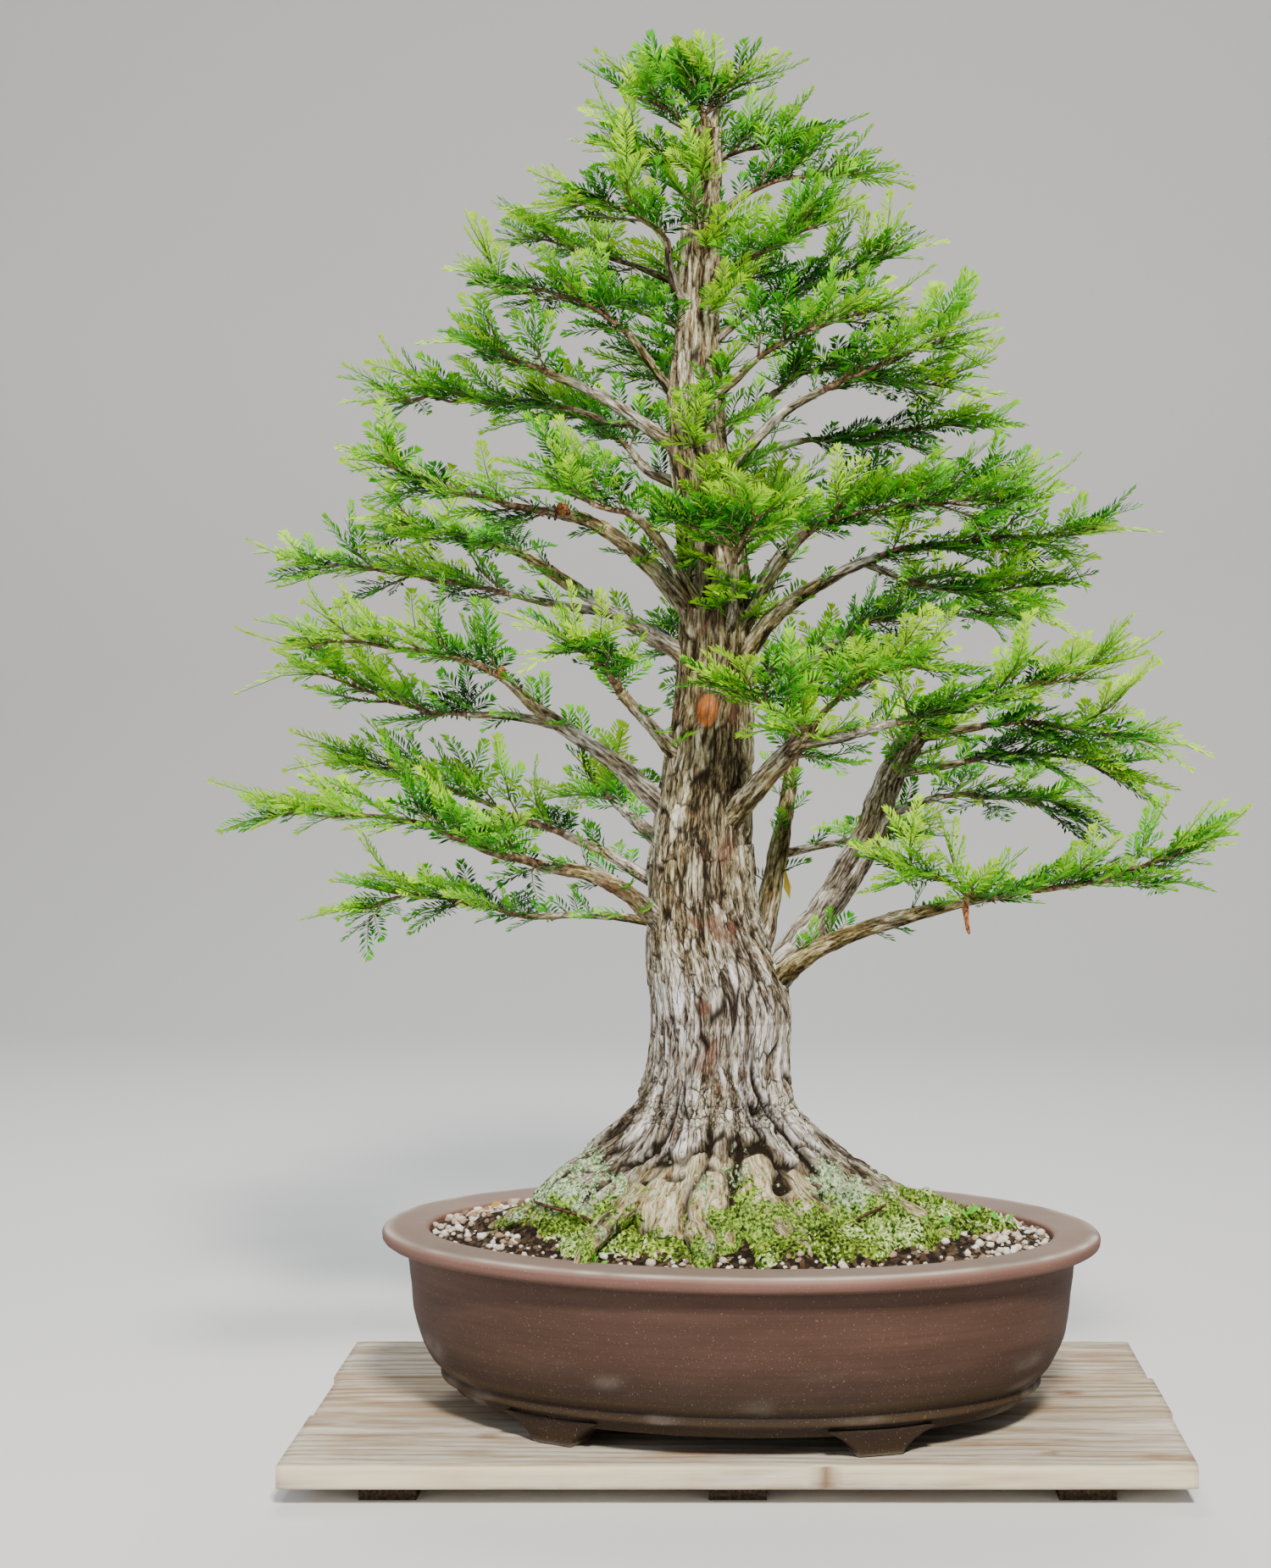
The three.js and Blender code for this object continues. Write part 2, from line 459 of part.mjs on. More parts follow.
    [-30, 5, 721], [-36, 34, 742], [-46, 60, 758], [-56, 84, 770], [-64, 108, 778], [-68, 132, 781]] },
  { name: 'back_05', thick: 3, cut: 1.8, leafAt: 2, route: [
    [-28, 3, 800], [-20, 26, 816], [-10, 44, 828], [2, 64, 838], [14, 84, 844]] },
  { name: 'top_01', thick: 5, cut: 2.6, leafAt: 1, route: [
    [-22, 0, 922], [-24, -1, 938], [-32, -3, 952], [-44, -6, 967], [-58, -8, 983]], forks: [
    [[-24, -1, 940], [-14, -5, 952], [-2, -8, 960], [12, -10, 963]]] },
];
const DEAD_TOP = [[-22, 1, 918], [-17, 5, 938], [-13, 7, 956], [-11, 8, 973]];

const routeOf = (points) => points.map(([x, y, z]) => vec(x, y, z));
const sidesFor = (radius) => (radius > 8 ? 6 : radius > 5 ? 5 : 4);

// A limb's wood thins from its collar to the cut where its leafy end goes on.
function limbWood({ thick, cut, leafAt, route }) {
  const end = leafAt / (route.length - 1);
  const collar = (share) => 1 + 0.35 * Math.exp((-9 * share) / end);
  const radiusAt = (share) => mix(thick, cut, Math.min(1, share / end)) * collar(share);
  return solid(stem(routeOf(route), 0, end, sidesFor(thick), Math.ceil(0.6 * leafAt), radiusAt));
}

function wood() {
  let body = solid(skin(TRUNK_LEVELS.map((level) => trunkRing(level))));
  for (const limb of LIMBS) body = body.add(limbWood(limb));
  body = body.add(solid(stem(routeOf(DEAD_TOP), 0, 1, 4, 2, (share) => mix(3.4, 1.3, share))));
  addPiece('wood', geometryOf(body), PAINT.bark, planting);
  return body;
}

// A feather of needles: a keeled rib with needles cut to it on both sides, swept towards its tip.
// Its bare stalk runs back into the twig. The margin makes it fatter all round, to see whether it
// stays clear of its neighbours.
function feather(foot, along, lift, stalk, count, seed, margin = 0) {
  const across = vec(0, 0, 0).crossVectors(lift, along).normalize();
  const normal = vec(0, 0, 0).crossVectors(along, across).normalize();
  const { pitch, length, sweep, rib, height } = NEEDLE;
  const droop = mix(-0.0025, 0.0035, draw(seed, 7));
  const place = (distance, sideways, rise) => foot.clone()
    .addScaledVector(along, distance)
    .addScaledVector(across, sideways)
    .addScaledVector(normal, rise - droop * distance * distance);
  const inTwig = margin > 0 ? 0 : -stalk;
  const points = [place(inTwig, 0, height), place(inTwig, -rib, 0), place(inTwig, rib, 0)];
  const faces = [1, 0, 2, 0, 1, 4, 0, 4, 3, 0, 6, 2, 0, 3, 6, 1, 2, 6, 1, 6, 4];
  const reachAt = (station) => length * (0.55 + 0.45 * Math.sin((Math.PI * (station + 0.9)) / (count + 0.6)));
  for (let station = 0; station <= count; station += 1) {
    const thin = mix(1, 0.6, station / count);
    const distance = station * pitch;
    const reach = reachAt(station) + margin;
    const tipAlong = distance + pitch / 2 + reach * Math.cos(radians(sweep));
    const tipAcross = rib + reach * Math.sin(radians(sweep));
    points.push(place(distance, 0, height * thin + margin));
    for (const side of [-1, 1]) {
      points.push(place(distance, side * (rib * thin + margin), -margin));
      if (station < count) points.push(place(tipAlong, side * tipAcross, -margin));
    }
  }
  points.push(place((count + 1.3) * pitch + margin, 0, -margin));
  const tip = points.length - 1;
  for (let station = 0; station < count; station += 1) {
    const ridge = 3 + station * 5;
    const [right, rightTip, left, leftTip] = [ridge + 1, ridge + 2, ridge + 3, ridge + 4];
    const nextRidge = ridge + 5;
    const nextRight = nextRidge + 1;
    const nextLeft = nextRidge + (station + 1 < count ? 3 : 2);
    faces.push(ridge, right, rightTip, ridge, rightTip, nextRight, ridge, nextRight, nextRidge);
    faces.push(ridge, leftTip, left, ridge, nextLeft, leftTip, ridge, nextRidge, nextLeft);
    faces.push(right, nextRight, rightTip, left, leftTip, nextLeft);
    faces.push(right, left, nextLeft, right, nextLeft, nextRight);
  }
  const end = 3 + count * 5;
  faces.push(end, end + 1, tip, end, tip, end + 2, end + 1, end + 2, tip);
  const geometry = new THREE.BufferGeometry().setFromPoints(points);
  geometry.setIndex(faces);
  return solid(geometry);
}

const meets = (one, other) => {
  const [a, b] = [one.boundingBox(), other.boundingBox()];
  const apart = [0, 1, 2].some((axis) => a.min[axis] > b.max[axis] || b.min[axis] > a.max[axis]);
  return !apart && !one.intersect(other).isEmpty();
};

// One leafy stem: its twig, feathers in turn on its two sides, and one at its tip. A feather that
// would touch another stem is swung up until it is clear, or left out.
function leafyStem(points, from, foot, seed, others) {
  const curve = new THREE.CatmullRomCurve3(points);
  const reach = curve.getLength() * (1 - from);
  const twigEnd = 1 - (1 - from) * Math.min(0.5, 30 / reach);
  const radiusAt = (share) => mix(foot, TWIG_TIP, (share - from) / (1 - from));
  const steps = Math.max(1, Math.round(reach / 50));
  let body = solid(stem(points, from, twigEnd, 3, steps, radiusAt));
  const onTwig = (share) => {           // a point in the middle of the twig's straight facets
    const step = Math.min(steps - 1, Math.floor(((share - from) / (twigEnd - from)) * steps));
    const [start, end] = [step, step + 1].map((count) => mix(from, twigEnd, count / steps));
    return curve.getPoint(start).lerp(curve.getPoint(end), (share - start) / (end - start));
  };
  const pairs = Math.max(1, Math.round(reach / 48));
  for (let index = 0; index <= pairs; index += 1) {
    const last = index === pairs;
    const share = last ? twigEnd - 0.01 : mix(from, twigEnd, (index + 0.6) / (pairs + 0.2));
    const heading = curve.getTangent(share);
    const side = (index + seed) % 2 === 0 ? 1 : -1;
    const turn = last ? 0 : side * radians(mix(42, 68, draw(seed, index, 1)));
    const count = last ? 5 : 4;
    for (let attempt = 0; attempt < 6; attempt += 1) {
      const climb = radians(mix(-4, 24, draw(seed, index, 3)) + 16 * attempt);
      const along = heading.clone().applyAxisAngle(UP, turn * (1 - 0.12 * attempt));
      along.setZ(0).normalize().multiplyScalar(Math.cos(climb)).setZ(Math.sin(climb));
      const roll = mix(-0.35, 0.35, draw(seed, index, 4));
      const lift = UP.clone().applyAxisAngle(along, roll);
      const stalk = radiusAt(share) + 1.5;
      const base = onTwig(share).addScaledVector(lift, -NEEDLE.height / 2).addScaledVector(along, stalk);
      const own = seed * 50 + index;
      const wide = feather(base, along, lift, stalk, count, own, GAP);
      if (others.some((other) => meets(wide, other))) continue;
      body = body.add(feather(base, along, lift, stalk, count, own));
      break;
    }
  }
  return body;
}

function foliage(woodBody) {
  const placed = [woodBody];
  LIMBS.forEach(({ name, cut, leafAt, route, forks = [] }, seed) => {
    if (leafAt === route.length - 1) return;
    const points = routeOf(route);
    const spacing = points[leafAt].distanceTo(points[leafAt + 1]) * (route.length - 1);
    const from = leafAt / (route.length - 1) + (1.2 * GAP) / spacing;
    let body = leafyStem(points, from, cut, seed, placed);
    forks.forEach((fork, index) => {
      body = body.add(leafyStem(routeOf(fork), 0, cut * 0.6, 100 + seed + index, placed));
    });
    placed.push(body);
    addPiece(`leaves_${name}`, geometryOf(body), PAINT.leaf, planting);
  });
}
foliage(wood());

export default model;
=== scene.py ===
import itertools
import math

import bpy
import numpy as np
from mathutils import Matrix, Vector


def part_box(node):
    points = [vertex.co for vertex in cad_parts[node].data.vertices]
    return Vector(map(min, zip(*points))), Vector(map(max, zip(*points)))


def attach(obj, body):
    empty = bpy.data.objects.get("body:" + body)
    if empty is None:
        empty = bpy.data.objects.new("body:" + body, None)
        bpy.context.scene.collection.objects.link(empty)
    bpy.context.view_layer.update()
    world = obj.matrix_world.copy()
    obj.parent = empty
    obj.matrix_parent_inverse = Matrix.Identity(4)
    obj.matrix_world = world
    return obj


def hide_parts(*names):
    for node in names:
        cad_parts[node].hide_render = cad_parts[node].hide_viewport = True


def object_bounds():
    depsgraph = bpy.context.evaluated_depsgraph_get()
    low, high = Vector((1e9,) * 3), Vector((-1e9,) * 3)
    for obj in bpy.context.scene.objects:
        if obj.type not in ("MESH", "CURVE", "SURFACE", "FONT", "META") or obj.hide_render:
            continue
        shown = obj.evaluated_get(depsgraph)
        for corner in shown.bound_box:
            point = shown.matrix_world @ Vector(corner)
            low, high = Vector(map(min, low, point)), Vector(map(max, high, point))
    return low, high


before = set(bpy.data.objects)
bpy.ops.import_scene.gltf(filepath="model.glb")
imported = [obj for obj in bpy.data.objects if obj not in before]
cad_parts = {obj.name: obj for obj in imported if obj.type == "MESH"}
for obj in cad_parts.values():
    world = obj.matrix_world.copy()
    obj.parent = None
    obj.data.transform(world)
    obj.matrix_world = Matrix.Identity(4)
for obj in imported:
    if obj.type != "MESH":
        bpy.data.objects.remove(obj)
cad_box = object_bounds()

MM = 0.001

# Camera, at the eye height and distance the photograph was taken from. It looks level and square
# on from the middle of the tree; the photograph's frame lies a little left of and below its axis.
PHOTO_WIDTH_PX, PHOTO_HEIGHT_PX = 1500, 1851
FOCAL_PX = 3040
AXIS_PX = (921, 847)
CAMERA_PLACE = (28, -1841, 514)
camera = bpy.data.objects.new("camera", bpy.data.cameras.new("camera"))
camera.data.sensor_width = 36
camera.data.lens = FOCAL_PX * camera.data.sensor_width / PHOTO_HEIGHT_PX
camera.data.shift_x = (PHOTO_WIDTH_PX / 2 - AXIS_PX[0]) / PHOTO_HEIGHT_PX
camera.data.shift_y = (AXIS_PX[1] - PHOTO_HEIGHT_PX / 2) / PHOTO_HEIGHT_PX
camera.location = Vector(CAMERA_PLACE) * MM
camera.rotation_euler = (math.pi / 2, 0, 0)
bpy.context.scene.collection.objects.link(camera)
bpy.context.scene.camera = camera


# Stage: a plain pale floor under soft studio light. The key lamp hangs in front, above and to
# the right, a weaker fill stands at the left, and a back lamp lifts the edges of the foliage.
def linear(code):
    """An sRGB hex colour as linear red, green, blue and alpha."""
    shares = [int(code[i:i + 2], 16) / 255 for i in (1, 3, 5)]
    return [s / 12.92 if s <= 0.04045 else ((s + 0.055) / 1.055) ** 2.4 for s in shares] + [1.0]


def add_node(tree, kind, inputs=(), stops=(), out=0, **settings):
    """Adds a node with its settings and ramp stops and gives the output that the next one takes."""
    node = tree.nodes.new("ShaderNode" + kind)
    for key, value in settings.items():
        setattr(node, key, value)
    for index, (place, code) in enumerate(stops):
        stop = node.color_ramp.elements[0] if index == 0 else node.color_ramp.elements.new(place)
        if index == 0:
            node.color_ramp.elements.remove(node.color_ramp.elements[1])
        stop.position = place
        stop.color = linear(code)
    for key, value in dict(inputs).items():
        if isinstance(value, bpy.types.NodeSocket):
            tree.links.new(value, node.inputs[key])
        else:
            node.inputs[key].default_value = value
    return node.outputs[out] if node.outputs else None


def new_material(name):
    """An empty node material, its tree and, for its patterns, each point's place on the object."""
    material = bpy.data.materials.new(name)
    material.use_nodes = True
    tree = material.node_tree
    tree.nodes.clear()
    return material, tree, add_node(tree, "TexCoord", out="Object")


def surface(tree, colour, height=None, depth_mm=0.3, **shader):
    """Ends a material: a shader of this colour, with its height as bumps this deep."""
    finish = {key.replace("_", " ").title().replace("Ior", "IOR"): value
              for key, value in shader.items()}
    inputs = {"Base Color": colour, **finish}
    if height is not None:
        inputs["Normal"] = add_node(tree, "Bump", {"Height": height, "Distance": depth_mm * MM})
    add_node(tree, "OutputMaterial", {"Surface": add_node(tree, "BsdfPrincipled", inputs)})


world = bpy.data.worlds.new("studio")
bpy.context.scene.world = world
world.use_nodes = True
world.node_tree.nodes["Background"].inputs["Color"].default_value = linear("#EDF0F4")
world.node_tree.nodes["Background"].inputs["Strength"].default_value = 0.3
LAMPS = {                             # place, watts, side, colour
    "key_lamp": ((450, -2600, 2700), 215, 480, "#FFF8EE"),
    "fill_lamp": ((-1900, -1200, 900), 16, 1200, "#EEF4FF"),
    "back_lamp": ((-300, 1500, 2300), 40, 1000, "#FFFFFF"),
}
for name, (place, watts, side, tint) in LAMPS.items():
    lamp = bpy.data.lights.new(name, "AREA")
    lamp.energy, lamp.size, lamp.color = watts, side * MM, linear(tint)[:3]
    holder = bpy.data.objects.new(name, lamp)
    holder.location = Vector(place) * MM
    holder.rotation_euler = (Vector((0, 0, 0.45)) - holder.location).to_track_quat("-Z", "Y").to_euler()
    bpy.context.scene.collection.objects.link(holder)

FLOOR_HALF = 6000                     # the floor sweeps up behind the tree into a plain backdrop
BACK_EDGE, BEND_RADIUS, BACKDROP_HEIGHT = 2300, 1300, 5000
floor_paint, tree, _ = new_material("pale_floor")
mottle = add_node(tree, "TexNoise", {"Scale": 3.0, "Detail": 3.0})
tint = add_node(tree, "ValToRGB", {"Fac": mottle}, stops=[(0.3, "#DDDEDF"), (0.7, "#E3E4E5")])
surface(tree, tint, roughness=0.85)
bend = [(BACK_EDGE + BEND_RADIUS * math.sin(a), BEND_RADIUS * (1 - math.cos(a)))
        for a in np.linspace(0, math.pi / 2, 25)]
profile = [(-FLOOR_HALF, 0)] + bend + [(BACK_EDGE + BEND_RADIUS, BACKDROP_HEIGHT)]
floor_points = [(x * MM, y * MM, z * MM) for y, z in profile for x in (-FLOOR_HALF, FLOOR_HALF)]
floor_faces = [(i, i + 1, i + 3, i + 2) for i in range(0, len(floor_points) - 2, 2)]
floor_mesh = bpy.data.meshes.new("floor")
floor_mesh.from_pydata(floor_points, [], floor_faces)
floor_mesh.polygons.foreach_set("use_smooth", [True] * len(floor_faces))
floor_mesh.materials.append(floor_paint)
floor = bpy.data.objects.new("floor", floor_mesh)
bpy.context.scene.collection.objects.link(floor)


# Display board: three old fence pickets laid edge to edge, sawn from cedar and bleached grey by
# the weather. Their soft grain has worn below the hard grain and the front arris is rubbed pale.
MASK = 0xFFFFFFFF


def draw(*keys):
    """Numbers from 0 to 1 that depend only on whole-number keys, as in the part's own rule."""
    mixed = np.int64(2166136261)
    for key in keys:
        mixed = (((mixed ^ (np.asarray(key, np.int64) + 101)) & MASK) * 16777619) & MASK
        mixed ^= mixed >> 13
        mixed = (mixed * 1540483477) & MASK
        mixed ^= mixed >> 15
    return mixed / 4294967296


def ripple(points, size, seed):
    """Smooth noise from 0 to 1 with lumps about this size, which may differ along X, Y and Z."""
    spot = np.asarray(points, float) / size
    cell = np.floor(spot).astype(np.int64)
    part = spot - cell
    part = part * part * (3 - 2 * part)
    total = 0
    for corner in itertools.product((0, 1), repeat=3):
        share = np.where(corner, part, 1 - part).prod(axis=-1)
        lattice = cell + corner
        total = total + share * draw(lattice[..., 0], lattice[..., 1], lattice[..., 2], seed)
    return total


def new_piece(name, points, faces, material, slot, stands_for=(), smooth=True, **marks):
    """A piece from points in millimetres. Its marks are what its material reads: one number for
    all of it, or a number or a vector at each point."""
    mesh = bpy.data.meshes.new(name)
    mesh.from_pydata((np.asarray(points).reshape(-1, 3) * MM).tolist(), [], faces)
    for key, values in marks.items():
        values = np.asarray(values, np.float32)
        if values.ndim == 0:
            values = np.full(len(mesh.vertices), values)
        single = values.size == len(mesh.vertices)
        layer = mesh.attributes.new(key, "FLOAT" if single else "FLOAT_VECTOR", "POINT")
        layer.data.foreach_set("value" if single else "vector", values.ravel())
    mesh.polygons.foreach_set("use_smooth", [smooth] * len(mesh.polygons))
    mesh.materials.append(material)
    piece = bpy.data.objects.new(name, mesh)
    bpy.context.scene.collection.objects.link(piece)
    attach(piece, "root")
    if stands_for:
        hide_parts(*stands_for)
    return piece


def tube_faces(rings, sides, first=0):
    """Faces of a closed tube of rings that turn anticlockwise about its way forward."""
    start = first + np.arange(rings - 1)[:, None] * sides + np.arange(sides)
    after = first + np.arange(rings - 1)[:, None] * sides + (np.arange(sides) + 1) % sides
    faces = np.stack([start, after, after + sides, start + sides], -1).reshape(-1, 4).tolist()
    last = first + (rings - 1) * sides
    return faces + [list(range(first + sides - 1, first - 1, -1)), list(range(last, last + sides))]


def millimetres(node):
    """The lowest and highest corner of a solid, in millimetres."""
    return [np.array(corner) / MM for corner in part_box(node)]


# How each plank was cut: where the heart of the log lay under it (across and down, mm), how far
# the log ran out of line, and the lightness of its silver skin.
PLANKS = {
    "front": {"heart": (38, -62), "slope": (0.05, 0.012),
              "tones": ("#6B5640", "#AFA390", "#C9C0AE", "#DDD6C8")},
    "middle": {"heart": (-22, -30), "slope": (-0.06, 0.03),
               "tones": ("#5E4832", "#99896F", "#B7A994", "#D2CABB")},
    "back": {"heart": (18, -48), "slope": (0.03, -0.02),
             "tones": ("#66523C", "#9F9280", "#BCB1A0", "#D5CEC2")}}
PLANK_STATIONS = 100
ARRIS = 1.5                           # how far the long edges are worn round
NOTCH_X = 58                          # a dent in the front edge
KNOTS = {                             # x, distance from the front edge, radius
    "front": [(-170, 70, 7), (208, 30, 5)], "middle": [(235, 55, 9)], "back": [(-225, 40, 6)]}


def cells(size):
    """The scale at which a pattern's cells are this many millimetres across."""
    return 1 / (size * MM)


WAVE_LENGTH = 0.314                   # of Blender's wave pattern at a scale of 1


def weathered_cedar(name, heart, slope, tones, box):
    """Grey weathered softwood: growth rings about the log's heart, silver skin and brown stains."""
    material, tree, place = new_material(f"weathered_cedar_{name}")
    low, high = box
    about_heart = add_node(tree, "Mapping", {
        "Vector": place, "Rotation": (0, slope[1], slope[0]), "Scale": (0.35, 1, 1),
        "Location": (0, -((low[1] + high[1]) / 2 + heart[0]) * MM, -(high[2] + heart[1]) * MM)})
    rings = add_node(tree, "TexWave", {
        "Vector": about_heart, "Scale": WAVE_LENGTH * cells(7.85), "Distortion": 6.0, "Detail": 4.0,
        "Detail Scale": 0.6, "Detail Roughness": 0.65}, out="Fac", wave_type="RINGS", rings_direction="X")
    stretched = add_node(tree, "Mapping", {"Vector": place, "Scale": (cells(65.4), cells(2.26), cells(2.26))})
    fibre = add_node(tree, "TexNoise", {
        "Vector": stretched, "Scale": 1.0, "Detail": 6.0, "Roughness": 0.72})
    broad = add_node(tree, "Mapping", {"Vector": place, "Scale": (cells(113.6), cells(20.7), cells(20.7))})
    stain = add_node(tree, "TexNoise", {"Vector": broad, "Scale": 1.0, "Detail": 5.0, "Roughness": 0.6})
    height = add_node(tree, "Math", {0: rings, 1: 0.22, 2: fibre}, operation="MULTIPLY_ADD")
    grain = add_node(tree, "Math", {0: height, 1: 0.82}, operation="MULTIPLY")
    skin = add_node(tree, "ValToRGB", {"Fac": grain}, stops=[
        (0.22, tones[0]), (0.4, tones[1]), (0.54, tones[2]), (0.72, tones[3])])
    stain_share = add_node(tree, "MapRange", {
        "Value": stain, "From Min": 0.47, "From Max": 0.68, "To Max": 0.85})
    rub, dark = (add_node(tree, "Attribute", out="Fac", attribute_name=mark) for mark in ("rubbed", "dark"))
    for share, tint in ((stain_share, "#947250"), (rub, "#E2D4B2"), (dark, "#6B4526")):
        skin = add_node(tree, "Mix", {0: share, 6: skin, 7: linear(tint)}, out=2, data_type="RGBA")
    surface(tree, skin, height, 0.35, roughness=0.82, specular_ior_level=0.25)
    return material


def plank(name, heart, slope, tones):
    """One picket: a sawn section along X, worn at its arrises and in its soft grain."""
    low, high = millimetres(f"plank_{name}")
    thick, depth = high[2] - low[2], high[1] - low[1]
    sides = [                         # start, end, number of points and outward way of each side
        ((0, ARRIS), (0, thick - ARRIS), 7, (-1, 0)), ((ARRIS, thick), (depth - ARRIS, thick), 50, (0, 1)),
        ((depth, thick - ARRIS), (depth, ARRIS), 6, (1, 0)), ((depth - ARRIS, 0), (ARRIS, 0), 3, (0, -1))]
    section = np.vstack([np.linspace(start, end, count) for start, end, count, _ in sides])
    ways = np.vstack([np.tile(np.array(way, float), (count, 1)) for _, _, count, way in sides])
    on_top, on_edge = (ways[:, 1] > 0).astype(float), np.abs(ways[:, 0])
    points = np.empty((PLANK_STATIONS, len(section), 3))
    points[..., 0] = np.linspace(low[0], high[0], PLANK_STATIONS)[:, None]
    points[..., 1:] = low[1:] + section
    seed = len(name)
    grain = ripple(points, (160, 2.3, 6), seed) - 0.5
    sawn = ripple(points, (2.5, 4, 1.8), seed + 1) - 0.5
    hollow = ripple(points, (420, 60, 60), seed + 2) - 0.5
    corner = np.abs(section[:, 1] - thick) + np.minimum(section[:, 0], depth - section[:, 0])
    near_arris = np.exp(-corner / 2.2)
    rough = on_top * (0.5 * grain + 0.8 * hollow - 0.25) + on_edge * 0.7 * sawn
    rough -= 0.9 * near_arris * ripple(points, (14, 6, 6), seed + 3)
    points[..., 1:] += rough[..., None] * ways
    dark = np.zeros(points.shape[:2])
    for knot_x, knot_y, size in KNOTS[name]:
        away = np.hypot((points[..., 0] - knot_x) / 1.4, points[..., 1] - low[1] - knot_y) / size
        ring = 0.75 + 0.25 * np.cos(9 * away)
        dark = np.maximum(dark, np.clip(1.25 - away, 0, 1) * ring * on_top)
    rubbed = near_arris * (0.5 + 0.9 * ripple(points, (25, 8, 8), seed + 5))
    rubbed += on_edge * 1.1 * ripple(points, (60, 6, 5), seed + 6)
    joined = near_arris * ((section[:, 0] > depth / 2) | (name != "front"))
    rubbed = rubbed * (1 - joined)
    dark = np.maximum(dark, 0.75 * joined * (0.4 + 0.9 * ripple(points, (40, 8, 8), seed + 7)))
    if name == "front":
        notch = np.exp(-((points[..., 0] - NOTCH_X) / 6) ** 2) * on_edge * (points[..., 1] < low[1] + 3)
        points[..., 1] += 1.8 * notch
        dark = np.maximum(dark, notch * 0.8)
    drawn_in = np.zeros((PLANK_STATIONS, 1, 1))         # rounds the arrises of the end grain
    drawn_in[[0, -1]] = 0.8
    points[..., 1:] += ((low + high)[1:] / 2 - points[..., 1:]) * drawn_in / [depth, thick]
    material = weathered_cedar(name, heart, slope, tones, (low, high))
    new_piece(f"cedar_plank_{name}", points, tube_faces(*points.shape[:2]), material, "plank",
              [f"plank_{name}"], rubbed=np.clip(rubbed, 0, 1), dark=np.clip(dark, 0, 1))


for name, cut in PLANKS.items():
    plank(name, **cut)

# Battens: three rough-sawn cross pieces screwed on from below hold the planks in one board.
# Their wood is painted a darker brown as painted shade, for the board's shadow over them.
batten_wood_in_painted_shade, tree, place = new_material("rough_sawn_batten_in_painted_shade")
stretched = add_node(tree, "Mapping", {"Vector": place, "Scale": (cells(2.27), cells(50), cells(2.27))})
fibre = add_node(tree, "TexNoise", {"Vector": stretched, "Scale": 1.0, "Detail": 6.0})
saw = add_node(tree, "TexWave", {
    "Vector": place, "Scale": WAVE_LENGTH * cells(5.71), "Distortion": 3.0, "Detail": 2.0},
    out="Fac", bands_direction="Y")
height = add_node(tree, "Math", {0: fibre, 1: saw}, operation="ADD")
# Painted shade: the batten's browns are kept dark for the shadow under the board.
tone = add_node(tree, "ValToRGB", {"Fac": fibre}, stops=[
    (0.3, "#241C14"), (0.5, "#3E3327"), (0.7, "#594C3C")])
surface(tree, tone, height, 0.4, roughness=0.88, specular_ior_level=0.2)
for place_name in ("left", "middle", "right"):
    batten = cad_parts[f"batten_{place_name}"]
    batten.data.materials.clear()
    batten.data.materials.append(batten_wood_in_painted_shade)

# Pot: one oval of unglazed brown stoneware, pressed in a mould and finished by hand. It has a
# wide flat rim with a rolled lip, a raised belt low on its wall and four bracket feet.
pot_low, pot_high = millimetres("pot")
POT_CENTRE = np.array([(pot_low[0] + pot_high[0]) / 2, (pot_low[1] + pot_high[1]) / 2, 0])
POT_TURN = math.radians(-7)
HALF_LENGTH, HALF_DEPTH = 254, 177
POT_SIDES = 180
# The wall's section as [inset along the length, inset along the depth, height, rounding],
# up the outside, over the rim and down the inside.
POT_WALL = [
    [110, 100, 42, 0], [52, 43, 42, 2], [47, 38.5, 49.5, 1.5], [41.5, 34.5, 50.6, 1.8],
    [41.5, 34.5, 55.6, 1.8], [42.5, 35.5, 57, 1], [34.5, 28.5, 64, 6], [27, 22, 79, 8], [22, 18, 98, 10],
    [19, 16, 132, 8], [16, 13, 143.5, 2.5], [4, 4, 144.3, 2], [0.4, 0.4, 147, 2], [0, 0, 152.5, 2.2],
    [2.6, 2.6, 155.4, 2], [30, 35, 154.8, 1.6], [33, 38, 153, 1.6], [36, 40, 125, 6], [42, 44, 92, 8],
    [62, 58, 56, 3], [80, 70, 56, 0]]
GLAZE_ZONES = [[40, 0.1], [50, 0.18], [53, 0.34], [57, 0.2], [70, 0.45], [100, 0.58], [138, 0.6],
               [143, 0.5], [146, 0.72], [152, 0.8], [154, 0.95], [156, 1]]


def turned(points):
    """Points about the pot's own centre and along its own length, set in place on the board."""
    x, y, z = np.moveaxis(np.asarray(points, float), -1, 0)
    sine, cosine = math.sin(POT_TURN), math.cos(POT_TURN)
    return np.stack([x * cosine - y * sine, x * sine + y * cosine, z], -1) + POT_CENTRE


def rounded(corners, longest=4.5):
    """A line through corners, each rounded by its own last number, with steps no longer than this."""
    line = [np.array(corners[0][:-1], float)]
    for before, (*corner, radius), after in zip(corners, corners[1:], corners[2:]):
        corner = np.array(corner, float)
        ends = []
        for other in (before, after):
            way = np.array(other[:-1], float) - corner
            ends.append(corner + way * min(0.45, radius / max(np.linalg.norm(way), 1e-6)))
        for share in np.linspace(0, 1, 4 if radius < 3 else 6):
            line.append((1 - share) ** 2 * ends[0] + 2 * share * (1 - share) * corner + share ** 2 * ends[1])
    line.append(np.array(corners[-1][:-1], float))
    filled = [line[0]]
    for start, end in zip(line, line[1:]):
        steps = max(1, math.ceil(np.linalg.norm(end - start) / longest))
        filled += [start + (end - start) * step / steps for step in range(1, steps + 1)]
    return np.array(filled)


